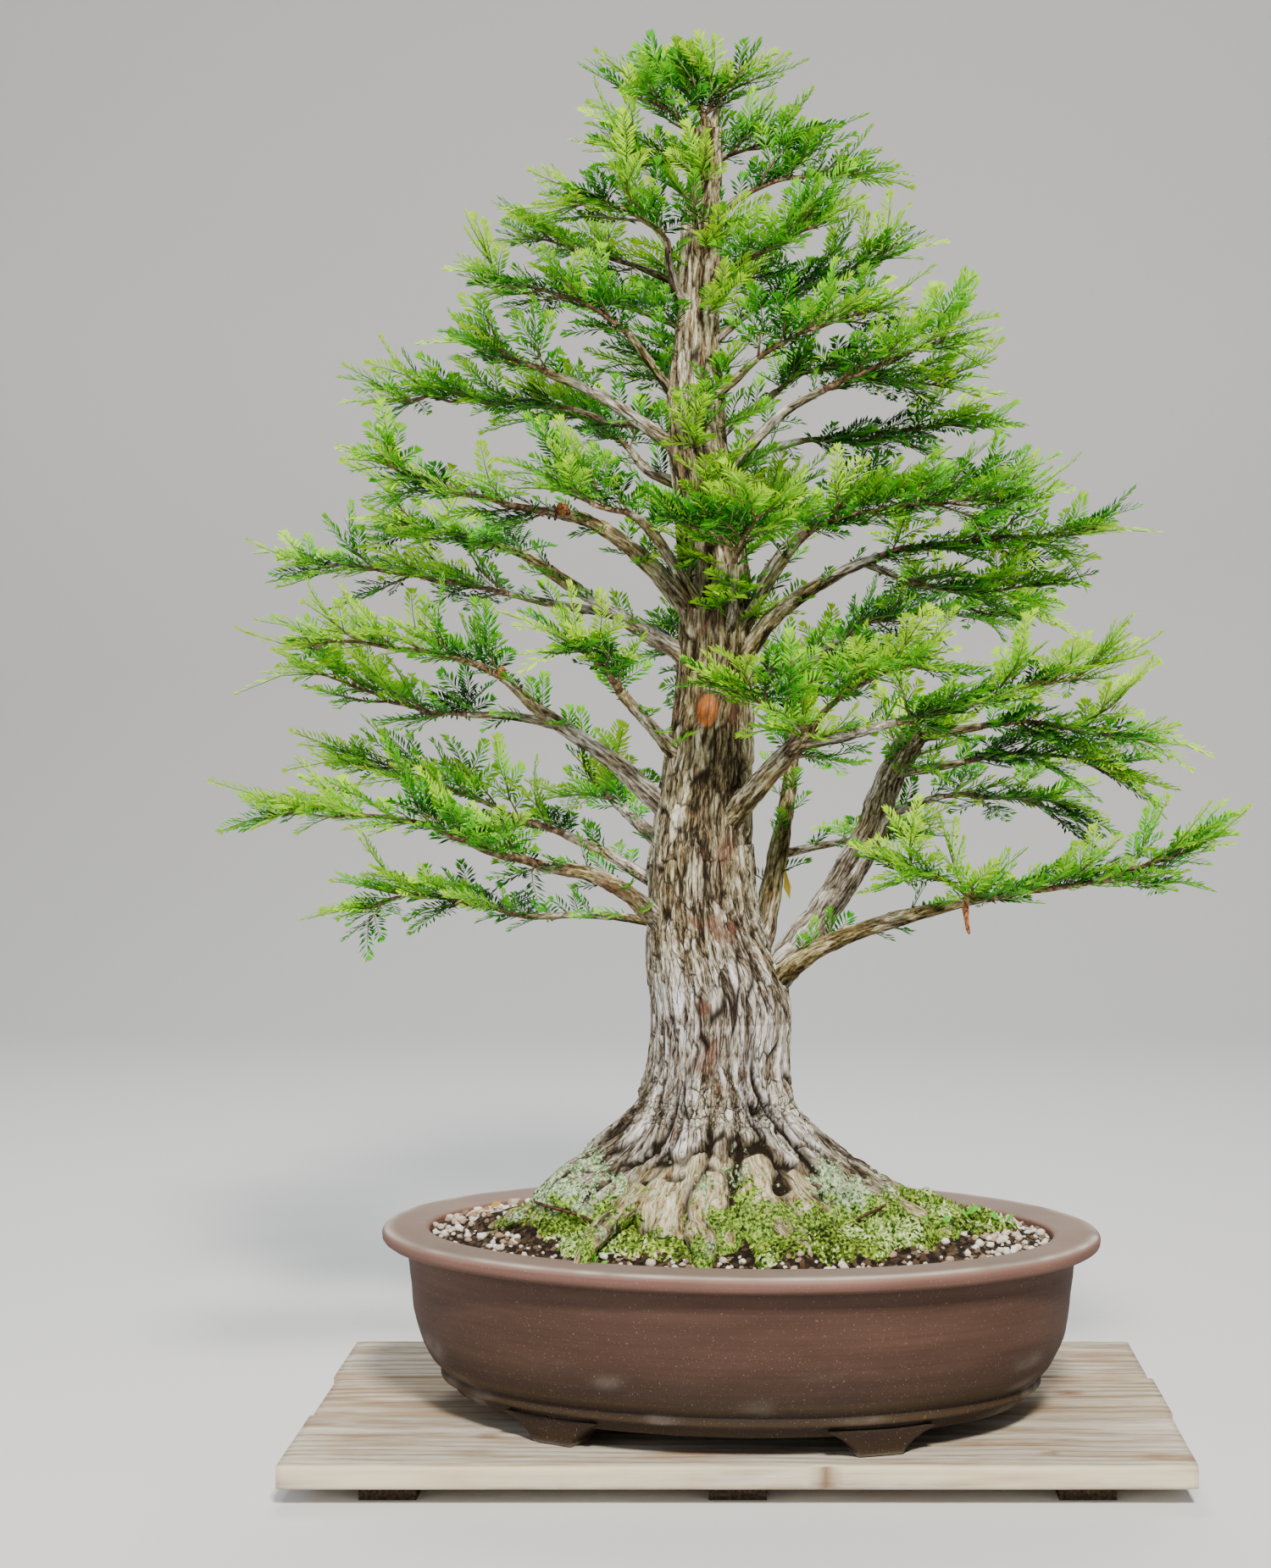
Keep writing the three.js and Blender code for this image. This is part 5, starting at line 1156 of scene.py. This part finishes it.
# Surface roots: they leave the flare, dip and rise through the moss, and end down in the soil.
SURFACE_ROOTS = [                     # radius at the trunk, radius at the end, then the route
    (12, 5, [(-92, -26, 186), (-122, -34, 176), (-150, -30, 167), (-174, -18, 152)]),
    (10, 5, [(-66, -64, 188), (-84, -92, 174), (-98, -114, 162), (-106, -130, 146)]),
    (10, 7, [(-26, -80, 184), (-24, -104, 171), (-22, -122, 160), (-21, -134, 144)]),
    (11, 5, [(76, -30, 190), (104, -44, 178), (130, -52, 167), (158, -58, 150)]),
    (9, 5, [(20, -80, 184), (34, -100, 170), (46, -116, 158), (54, -128, 144)]),
    (9, 4, [(72, 40, 188), (100, 60, 173), (126, 74, 161), (148, 84, 147)]),
    (9, 4, [(-70, 44, 188), (-98, 62, 174), (-122, 76, 162), (-146, 84, 147)])]
ROOT_STATIONS, ROOT_SIDES = 64, 26
for number, (foot, tip, route) in enumerate(SURFACE_ROOTS, 1):
    spine = route_at(route, np.linspace(0, 1, ROOT_STATIONS))
    radius = np.linspace(foot, tip, ROOT_STATIONS)[:, None] + np.zeros(ROOT_SIDES)
    rings, outward, angle = round_a_line(spine, radius, ROOT_SIDES)
    grain = along_grain(angle, radius, 0.16 * np.linspace(0, 90, ROOT_STATIONS)[:, None])
    grooves = ripple(grain, 2.6, 400 + number) - 0.5
    rings += outward * (2.6 * grooves + 5 * (ripple(rings, 12, 410 + number) - 0.5))[..., None]
    # Painted shade: the grooves along the roots are darkened as deep as they are cut.
    barked_piece(
        f"surface_root_{number}", rings, tone=0.45, rough=0.5, bare=0.7, grain=grain,
        gap=np.clip(-grooves * 3.2, 0, 0.95), lichen=0.05 + 0.55 * ripple(rings, 10, 430 + number),
        moss=0.05 + 0.7 * ripple(rings, 14, 420 + number) + 0.3 * np.clip(-outward[..., 2], 0, 1))

# Tie wires: annealed iron wire over the root flare, holding the tree down in its pot. It has
# rusted to a dull brown-black. One more is wound once round a limb on the left.
TIE_WIRES = {                         # bearing and height of each place on the flare
    "left": [(-124, 132), (-130, 160), (-141, 173), (-156, 181), (-172, 185), (-188, 183), (-202, 172),
             (-208, 150)],
    "right": [(-60, 132), (-54, 160), (-44, 174), (-31, 182), (-14, 187), (6, 187), (22, 177), (30, 150)]}
TIE_RADIUS, RING_RADIUS = 1.1, 0.9
tie_wire_iron, tree, place = new_material("rusted_iron_wire")
rust = add_node(tree, "TexNoise", {"Vector": place, "Scale": cells(2.08), "Detail": 4.0})
tone = add_node(tree, "ValToRGB", {"Fac": rust}, stops=[
    (0.35, "#2B211B"), (0.52, "#54392A"), (0.7, "#83573A")])
surface(tree, tone, rust, 0.3, roughness=0.7, metallic=0.6)


def wire(name, spine, radius, stands_for=()):
    """A length of iron wire along a line."""
    rings, _, _ = round_a_line(spine, np.full((len(spine), 8), radius), 8)
    new_piece(name, rings + PLANTING, tube_faces(len(spine), 8), tie_wire_iron, "tie_wire", stands_for)


for side, places in TIE_WIRES.items():
    bearings, heights = np.array(places, float).T
    bearings = np.radians(bearings)
    reach = trunk_reach(bearings, heights) + 3.2
    route = np.stack([trunk_middle_and_half(heights)[0] + reach * np.cos(bearings),
                      DEPTH_RATIO * reach * np.sin(bearings), heights], -1)
    wire(f"iron_tie_{side}", route_at(route, np.linspace(0, 1, 90)), TIE_RADIUS, [f"tie_wire_{side}"])

# Foliage: each limb ends in fine reddish twigs, and each twig in a fan of soft flat sprays with a
# rank of needles down both sides. They are yellow-green at the growing tips, deep green inside.
NEEDLE_PITCH, NEEDLE_LENGTH, NEEDLE_WIDTH, NEEDLE_THICK = 2.45, 10.0, 1.85, 0.45
TWIG_TIP, TWIG_SPACING = 0.8, 10.8
UP = np.array([0, 0, 1.0])
# Shoots stop at the outline that the tree is clipped to: the solids' box and a little more, with
# the crown held lower.
box_low, box_high = (np.array(corner) / MM for corner in cad_box)
clipped_past, crown_lower = 0.025 * (box_high - box_low) + 8, 18
GROWTH_LOW = box_low - clipped_past - POT_CENTRE
GROWTH_HIGH = box_high + clipped_past - [0, 0, crown_lower] - POT_CENTRE


def turned_about(vectors, axis, angle):
    """Vectors turned about an axis by an angle."""
    return (vectors * math.cos(angle) + np.cross(axis, vectors) * math.sin(angle)
            + axis * (vectors @ axis)[..., None] * (1 - math.cos(angle)))


def square_to(vector, heading):
    """The part of a vector that is square to a heading, as a direction."""
    return unit(vector - heading * (vector @ heading))


def room(foot, heading, length):
    """The length that a shoot has before it would grow out of the tree's own outline."""
    ahead = np.where(heading > 0, GROWTH_HIGH - foot, GROWTH_LOW - foot)
    return min(length, max(0.0, np.min(ahead / np.where(np.abs(heading) < 1e-6, 1e-6, heading)) - 6))


class Spray:
    """What one leafy limb end collects as it grows: tubes of twig, and needles."""

    def __init__(self):
        self.tubes, self.needles = [], []

    def tube(self, spine, radii, sides, green):
        self.tubes.append((spine, np.asarray(radii), sides, green))

    def feather(self, foot, heading, lift, length, seed, young):
        """One spray: a curved rib with a rank of needles down each side, swept towards its tip."""
        length = room(foot, heading, length)
        if length < 6:
            return
        lift = turned_about(square_to(lift, heading), heading, 1.1 * (draw(seed, 3) - 0.5))
        across = np.cross(lift, heading)
        count = max(3, int(length / NEEDLE_PITCH))
        bend = (draw(seed, 1) - 0.62) * 0.014
        sway = (draw(seed, 2) - 0.5) * 0.016
        distance = np.linspace(0, length, count + 1)[:, None]
        rib = foot + heading * distance + lift * bend * distance ** 2 + across * sway * distance ** 2
        self.tube(rib[[0, count // 2, count]], np.array([0.55, 0.42, 0.25]), 3, 0.75)
        way = unit(np.gradient(rib, axis=0))
        share = np.linspace(0, 1, count + 1)
        hue = draw(seed, 9)
        for side in (-1, 1):
            at = np.arange(count + 1)
            jitter = draw(seed, at, 3 + side)
            sweep = np.radians(54 - 24 * share + 18 * (jitter - 0.5))
            rise = 0.12 + 0.5 * (draw(seed, at, 6 + side) - 0.4)
            reach = NEEDLE_LENGTH * (0.5 + 0.5 * np.sin(np.pi * (0.14 + 0.74 * share)))
            reach = reach * (0.85 + 0.3 * jitter)
            direction = unit(way * np.cos(sweep)[:, None] + side * across * np.sin(sweep)[:, None]
                             + lift * rise[:, None])
            flat = unit(np.cross(direction, lift + 0.8 * side * across * (jitter - 0.5)[:, None]))
            ages = np.clip(young + 0.4 * (share - 0.5) + 0.2 * (jitter - 0.5), 0, 1)
            self.needles.append((rib, direction, flat, reach, ages, np.full(count + 1, hue)))
        for turn in (-0.32, 0.05, 0.38):
            direction = unit(way[-1:] + across * turn + lift * 0.12)
            flat = unit(np.cross(direction, lift[None]))
            tip = ([NEEDLE_LENGTH * 0.66], [min(1, young + 0.25)], [hue])
            self.needles.append((rib[-1:], direction, flat, *map(np.array, tip)))

    def twig(self, foot, heading, lift, length, radius, seed, young):
        """A woody side twig that curves up and ends in a fan of sprays."""
        length = room(foot, heading, length)
        if length < 4:
            return
        across = np.cross(lift, heading)
        share = np.linspace(0, 1, 5)[:, None]
        rise = (draw(seed, 1) - 0.3) * 0.45
        sway = (draw(seed, 2) - 0.5) * 0.4
        kink = 0.05 * length * (draw(seed, np.arange(5), 8)[:, None] - 0.5) * (share > 0)
        curved = (lift * rise + across * sway) * share ** 2
        spine = foot + length * (heading * share + curved) + across * kink
        self.tube(spine, np.linspace(radius, 0.6, 5), 4, 0.1)
        count = 5 + int(2 * draw(seed, 3))
        for index in range(count):
            back = 1 - index / (count - 1)
            at = 1 - 0.72 * back
            where = np.array([np.interp(at, share[:, 0], spine[:, axis]) for axis in range(3)])
            way = unit(heading + lift * 2 * rise * at + across * 2 * sway * at)
            side = 1 if (index + seed) % 2 else -1
            turn = side * math.radians(8 + 48 * back + 16 * (draw(seed, index, 4) - 0.5))
            direction = turned_about(way, lift, turn) + lift * (0.6 * draw(seed, index, 5) - 0.25)
            size = 17 + 11 * draw(seed, index, 6) + 8 * (1 - back)
            self.feather(where, unit(direction), lift, size, seed * 31 + index,
                         min(1, young + 0.15 * (1 - back)))

    def stem(self, route, start, foot, seed, pale):
        """The limb's own leafy end, with side twigs and sprays all round it."""
        reach = length_between(route, start, 1, 50)
        finish = 1 - (1 - start) * min(0.4, 20 / reach)
        rows = max(6, int(reach / 5))
        spine = route_at(route, np.linspace(start, finish, rows))
        loose = np.linspace(0, 1, rows)[:, None] ** 0.5
        spine += (ripple(spine, 14, seed) - 0.5)[:, None] * [3, 3, 6] * loose
        heading, one, other = carried(spine)
        self.tube(spine, foot + (TWIG_TIP - foot) * np.linspace(0, 1, rows) ** 0.8, 7, 0.0)
        count = max(2, round(reach / TWIG_SPACING))
        for index in range(count):
            at = (index + 0.4) / count
            row = min(rows - 2, int(at * (rows - 1)))
            way = heading[row]
            level = unit(np.cross((0, 0, 1), way) + 1e-9)
            up = np.cross(way, level)
            side = 1 if (index + seed) % 2 else -1
            roll = math.radians(-48 + 96 * draw(seed, index, 21))
            turn = math.radians(24 + 32 * draw(seed, index, 22))
            aside = side * level * math.cos(roll) + up * math.sin(roll)
            direction = unit(way * math.cos(turn) + aside * math.sin(turn) + 0.08 * UP)
            length = (12 + 20 * math.sin(math.pi * (0.2 + 0.66 * at))) * (0.65 + 0.6 * draw(seed, index, 23))
            wander = 0.4 * (draw(seed, index, np.arange(24, 27)) - 0.5)
            # Needle age rises outwards along the limb; twigs that tilt up are painted paler and those that
            # tilt down darker, as painted light and shade.
            young = 0.05 + 0.55 * at * pale + 0.75 * (draw(seed, index, 28) - 0.4) + 0.35 * math.sin(roll)
            young = float(np.clip(young, 0, 1))
            self.twig(spine[row], direction, square_to(UP + wander, direction), length, 1.0,
                      seed * 97 + index, young)
            tilt = (draw(seed, index, 30) - 0.5) * 2.6
            above = 0.7 - 1.2 * (draw(seed, index, 34) < 0.35)
            slanted = unit(up * above + level * tilt + way * (1.2 + draw(seed, index, 33)))
            lift = square_to(np.array([0, -0.35, 1.0]), slanted)
            self.feather(spine[min(rows - 1, row + 1)], slanted, lift, 17 + 12 * draw(seed, index, 32),
                         seed * 97 + 60 + index, young)
        for number, (turn, length) in enumerate(((-0.5, 30), (0, 44), (0.45, 30))):
            direction = unit(turned_about(heading[-1], UP, turn) + 0.1 * number * UP)
            self.feather(spine[-1 - number], direction, UP, length * (0.8 + 0.4 * draw(seed, number, 35)),
                         seed * 97 + 90 + number, min(1.0, 0.5 + 0.45 * pale))

    def sprouts(self, route, end, radius, seed):
        """Small sprays straight from the outer part of a limb's own wood."""
        count = int(length_between(route, 0, end, 40) * 0.7 / 11)
        for index in range(count):
            at = end * (0.3 + 0.7 * (index + draw(seed, index, 41)) / max(count, 1))
            here = route_at(route, at)[0]
            way = unit(route_at(route, min(1, at + 0.02))[0] - here)
            level = unit(np.cross((0, 0, 1), way) + 1e-9)
            roll = math.radians(-40 + 260 * draw(seed, index, 42))
            aside = level * math.cos(roll) + np.cross(way, level) * math.sin(roll)
            direction = unit(aside + way * 0.8)
            self.feather(here + aside * radius * 0.7, direction, np.array([0, -0.3, 1.0]),
                         12 + 12 * draw(seed, index, 43), seed * 53 + index,
                         0.15 + 0.25 * draw(seed, index, 44))


def needle_green():
    """Deciduous conifer needles: thin, soft and matt, each with a paler growing tip."""
    material, tree, place = new_material("bald_cypress_needles")
    young = add_node(tree, "Attribute", out="Fac", attribute_name="young")
    tone = add_node(tree, "Attribute", out="Fac", attribute_name="tone")
    # The needles' green follows their age and, on twigs, painted light and shade from their tilt.
    mixed = add_node(tree, "Math", {0: tone, 1: 0.25, 2: young}, operation="MULTIPLY_ADD")
    colour = add_node(tree, "ValToRGB", {"Fac": mixed}, stops=[
        (0.05, "#082A05"), (0.2, "#13560A"), (0.38, "#318E10"), (0.58, "#60B713"), (0.76, "#8CD014"),
        (1.0, "#B0E018")])
    veins = add_node(tree, "TexNoise", {"Vector": place, "Scale": cells(1.43)})
    surface(tree, colour, veins, 0.1, roughness=0.65, specular_ior_level=0.12)
    return material


def twig_bark():
    """Young twig bark: reddish brown, paler where it has aged, green in this year's ribs."""
    material, tree, place = new_material("twig_bark")
    green = add_node(tree, "Attribute", out="Fac", attribute_name="green")
    mottle = add_node(tree, "TexNoise", {"Vector": place, "Scale": cells(3.85), "Detail": 3.0})
    brown = add_node(tree, "ValToRGB", {"Fac": mottle}, stops=[
        (0.3, "#3A271B"), (0.48, "#604430"), (0.62, "#8C6F55"), (0.74, "#BBA68B")])
    tone = add_node(tree, "Mix", {0: green, 6: brown, 7: linear("#5F9A2A")}, out=2, data_type="RGBA")
    surface(tree, tone, mottle, 0.3, roughness=0.7, specular_ior_level=0.25)
    return material


needles, twigs = needle_green(), twig_bark()


def blades(name, foot, way, wide, thin, material, stands_for=(), **marks):
    """Many flat closed leaves in one piece, each with a ridge from foot to tip."""
    broadest = foot + 0.6 * way - thin
    corners = np.stack([foot, broadest + wide, foot + way, broadest - wide], 1)
    shape = np.array([(0, 2, 1), (0, 3, 2), (0, 1, 3), (1, 2, 3)])
    shape = (shape[None] + np.arange(len(corners))[:, None, None] * 4).reshape(-1, 3)
    spread = {key: np.repeat(value, 4) if np.ndim(value) else value for key, value in marks.items()}
    return new_piece(name, corners + PLANTING, shape.tolist(), material, "foliage", stands_for,
                     smooth=False, **spread)


def leafy_pieces(spray, name, stands_for):
    """The twigs and the needles of one spray, as two pieces."""
    points, faces, greens, first = [], [], [], 0
    for spine, radii, sides, green in spray.tubes:
        rings, _, _ = round_a_line(spine, radii[:, None] + np.zeros(sides), sides)
        points.append(rings.reshape(-1, 3))
        faces += tube_faces(len(spine), sides, first)
        greens.append(np.full(len(points[-1]), green))
        first += len(points[-1])
    new_piece(f"twigs_{name}", np.vstack(points) + PLANTING, faces, twigs, "foliage", stands_for,
              green=np.concatenate(greens))
    foot, direction, flat, reach, young, tone = (np.concatenate(parts) for parts in zip(*spray.needles))
    blades(f"needles_{name}", foot, direction * reach[:, None], flat * NEEDLE_WIDTH / 2,
           np.cross(direction, flat) * NEEDLE_THICK, needles, stands_for, young=young, tone=tone)


for seed, (name, thick, cut, leaf_at, route, *forks) in enumerate(LIMBS):
    end = leaf_at / (len(route) - 1)
    if end == 1:
        continue                      # cut back: its shoots come below
    spray = Spray()
    pale = 0.95 if name in ("left_02", "left_03", "left_04") else 0.6
    spray.stem(route, end, cut, seed, pale)
    for index, fork in enumerate(forks):
        spray.stem(fork, 0, cut * 0.6, 100 + seed + index, pale)
    spray.sprouts(route, end, cut, seed)
    leafy_pieces(spray, name, [f"leaves_{name}"])

# Shoots on bare wood: short leafy twigs straight from the upper trunk, and round the ends of the
# two limbs that were cut back. They hide much of the stem and of the cuts.
TRUNK_SHOOTS, SHOOTS_FROM, SHOOTS_OVER, SHOOTS_A_LIMB = 36, 566, 350, 9
spray = Spray()
for index in range(TRUNK_SHOOTS):
    chance = draw(301, index, np.arange(8))
    height = SHOOTS_FROM + SHOOTS_OVER * (index + chance[1]) / TRUNK_SHOOTS
    bearing = math.radians(-90 + 150 * (chance[2] - 0.5) + 180 * (chance[3] > 0.72))
    outward = np.array([math.cos(bearing), math.sin(bearing), 0])
    middle, half = trunk_middle_and_half(np.array(height))
    at_bark = np.array([middle, 0, height]) + outward * [half, half * DEPTH_RATIO, 0] * 0.9
    aside = np.array([-outward[1], outward[0], 0])
    heading = unit(outward + aside * 1.5 * (chance[4] - 0.5) + UP * (0.25 + 0.5 * chance[5]))
    spray.twig(at_bark, heading, square_to(UP, heading), 12 + 14 * chance[6], 1.0,
               9000 + index, 0.15 + 0.6 * chance[7])
leafy_pieces(spray, "trunk_shoots", ())
spray = Spray()
for seed, (name, thick, cut, leaf_at, route, *forks) in enumerate(LIMBS):
    if leaf_at < len(route) - 1:
        continue
    way = unit(route_at(route, 1)[0] - route_at(route, 0.9)[0])
    for index in range(SHOOTS_A_LIMB):
        chance = draw(310 + seed, index, np.arange(8))
        here = route_at(route, 0.74 + 0.26 * chance[1])[0]
        aside = unit(chance[2:5] - 0.5)
        heading = unit(way * 0.8 + 1.5 * aside + [0.2, -0.2, 0.3])
        spray.twig(here + aside * cut * 0.5, heading, square_to(UP, heading), 16 + 22 * chance[6], 1.6,
                   9200 + 20 * seed + index, 0.2 + 0.6 * chance[7])
leafy_pieces(spray, "cut_limb_shoots", ())

# Small things: a wire ring left on one limb with a healed pruning cut beside it, more short stubs
# and a few fallen and self-sown leaves. The ring is iron, the rest grew here or dropped down.
limb_called = {limb[0]: limb for limb in LIMBS}


def on_limb(name, x):
    """A limb's middle, headings and radius at the step nearest to an x."""
    _, thick, cut, leaf_at, route, *_ = limb_called[name]
    spine, radius, _ = limb_line(route, thick, cut, leaf_at / (len(route) - 1))
    step = np.argmin(np.abs(spine[:, 0] - x))
    heading, one, other = carried(spine)
    return spine[step], heading[step], one[step], other[step], radius[step]


middle, heading, one, other, radius = on_limb("left_09", -127)
turn = np.linspace(0, 2.7 * math.pi, 60)[:, None]
coil = middle + (one * np.cos(turn) + other * np.sin(turn)) * (radius + 1.3) + heading * (turn * 0.7 - 3)
wire("wire_ring", coil, RING_RADIUS)

pruning_cut, tree, place = new_material("healed_cut")         # orange heartwood with checks, dull and dry
checks = add_node(tree, "TexNoise", {"Vector": place, "Scale": cells(1.61), "Detail": 5.0, "Roughness": 0.7})
tint = add_node(tree, "ValToRGB", {"Fac": checks}, stops=[
    (0.34, "#2E1A10"), (0.47, "#7A4424"), (0.6, "#B07A48"), (0.72, "#D6B88E")])
surface(tree, tint, checks, 0.6, roughness=0.85, specular_ior_level=0.15)
STUBS = [                             # limb, x, way it points, length, radius at foot and end
    ("left_09", -121, (0.1, -0.5, 0.86), 5, 5.2, 3.6), ("left_04", -207, (0.1, -0.75, 0.5), 7, 3.4, 2.4),
    ("right_01", 168, (0.12, -0.2, -1), 19, 2.2, 1.2), ("right_01", 160, (0.5, -0.3, 0.8), 7, 2.6, 1.8)]
for number, (name, x, way, length, foot, tip) in enumerate(STUBS, 1):
    middle, _, _, _, radius = on_limb(name, x)
    way = unit(np.array(way, float))
    reach = np.array([0, 0.55, 0.8, 0.93, 1.0])
    radii = (foot + (tip - foot) * reach) * [1.15, 1.0, 1.0, 0.86, 0.5]
    spine = middle + way * (radius * 0.55 + (length + radius * 0.4) * reach)[:, None]
    spine[:, 0] += 0.03 * length * np.sin(7 * reach)
    rings, outward, _ = round_a_line(spine, radii[:, None] + np.zeros(12), 12)
    rings += outward * (0.9 * (ripple(rings, 1.8, 440 + number) - 0.5))[..., None]
    new_piece(f"pruned_stub_{number}", rings + PLANTING, tube_faces(5, 12), pruning_cut, "bark")

fallen_leaf, tree, place = new_material("small_leaves")        # soft herb leaves, green or autumn yellow
age = add_node(tree, "Attribute", out="Fac", attribute_name="age")
tint = add_node(tree, "ValToRGB", {"Fac": age}, stops=[
    (0.0, "#2F8A1E"), (0.35, "#6FC23A"), (0.6, "#B9B53A"), (0.8, "#C9A227"), (1.0, "#8A5A2C")])
veins = add_node(tree, "TexNoise", {"Vector": place, "Scale": cells(2.0), "Detail": 2.0})
surface(tree, tint, veins, 0.3, roughness=0.55, specular_ior_level=0.3)
LEAVES = [                            # x, y, height above the soil, way, length, width, age
    (-196, 48, 3, (1, -0.3, 0.12), 19, 9, 0.95), (-180, 40, 3, (0.5, 0.6, 0.3), 11, 6, 0.9),
    (-98, -118, 2, (-0.7, -0.4, 0.8), 13, 5, 0.1), (-95, -118, 2, (0.5, -0.6, 0.9), 12, 5, 0.2),
    (-97, -119, 2, (0.1, -0.9, 0.5), 11, 5, 0.15), (-94, -116, 2, (-0.1, 0.3, 1.0), 14, 5, 0.05),
    (-92, -119, 2, (0.9, -0.2, 0.5), 10, 4, 0.25), (158, -30, 3, (0.8, -0.5, 0.5), 13, 8, 0.2),
    (161, -32, 3, (-0.6, -0.6, 0.6), 11, 7, 0.3), (186, -24, 3, (0.6, -0.7, 0.6), 12, 8, 0.15),
    (183, -22, 3, (-0.8, -0.3, 0.5), 10, 7, 0.25), (136, -58, 3, (0.3, -0.8, 0.7), 11, 7, 0.1),
    (133, -55, 3, (-0.7, -0.5, 0.7), 10, 6, 0.3), (139, -54, 3, (0.9, -0.1, 0.6), 10, 6, 0.2)]
foot = np.array([leaf[:3] for leaf in LEAVES], float)
foot[:, 2] += soil_height(foot[:, 0], foot[:, 1]) - 1
way = unit(np.array([leaf[3] for leaf in LEAVES], float))
length, width, age = (np.array([leaf[k] for leaf in LEAVES], float)[:, None] for k in (4, 5, 6))
flat = unit(np.cross(way, np.array([0, -0.6, 0.8])))
blades("small_leaves", foot, way * length, flat * width / 2, np.cross(way, flat) * 1.2, fallen_leaf,
       age=age[:, 0])
middle, _, _, _, radius = on_limb("right_06", 27)
foot = (middle + [6, -radius, -radius * 0.6])[None]
way, flat = unit(np.array([[0.15, -0.15, -1.0]])), unit(np.array([[1.0, 0.5, 0.1]]))
blades("yellow_leaf", foot, way * 24, flat * 3, np.cross(way, flat), fallen_leaf, age=0.72)
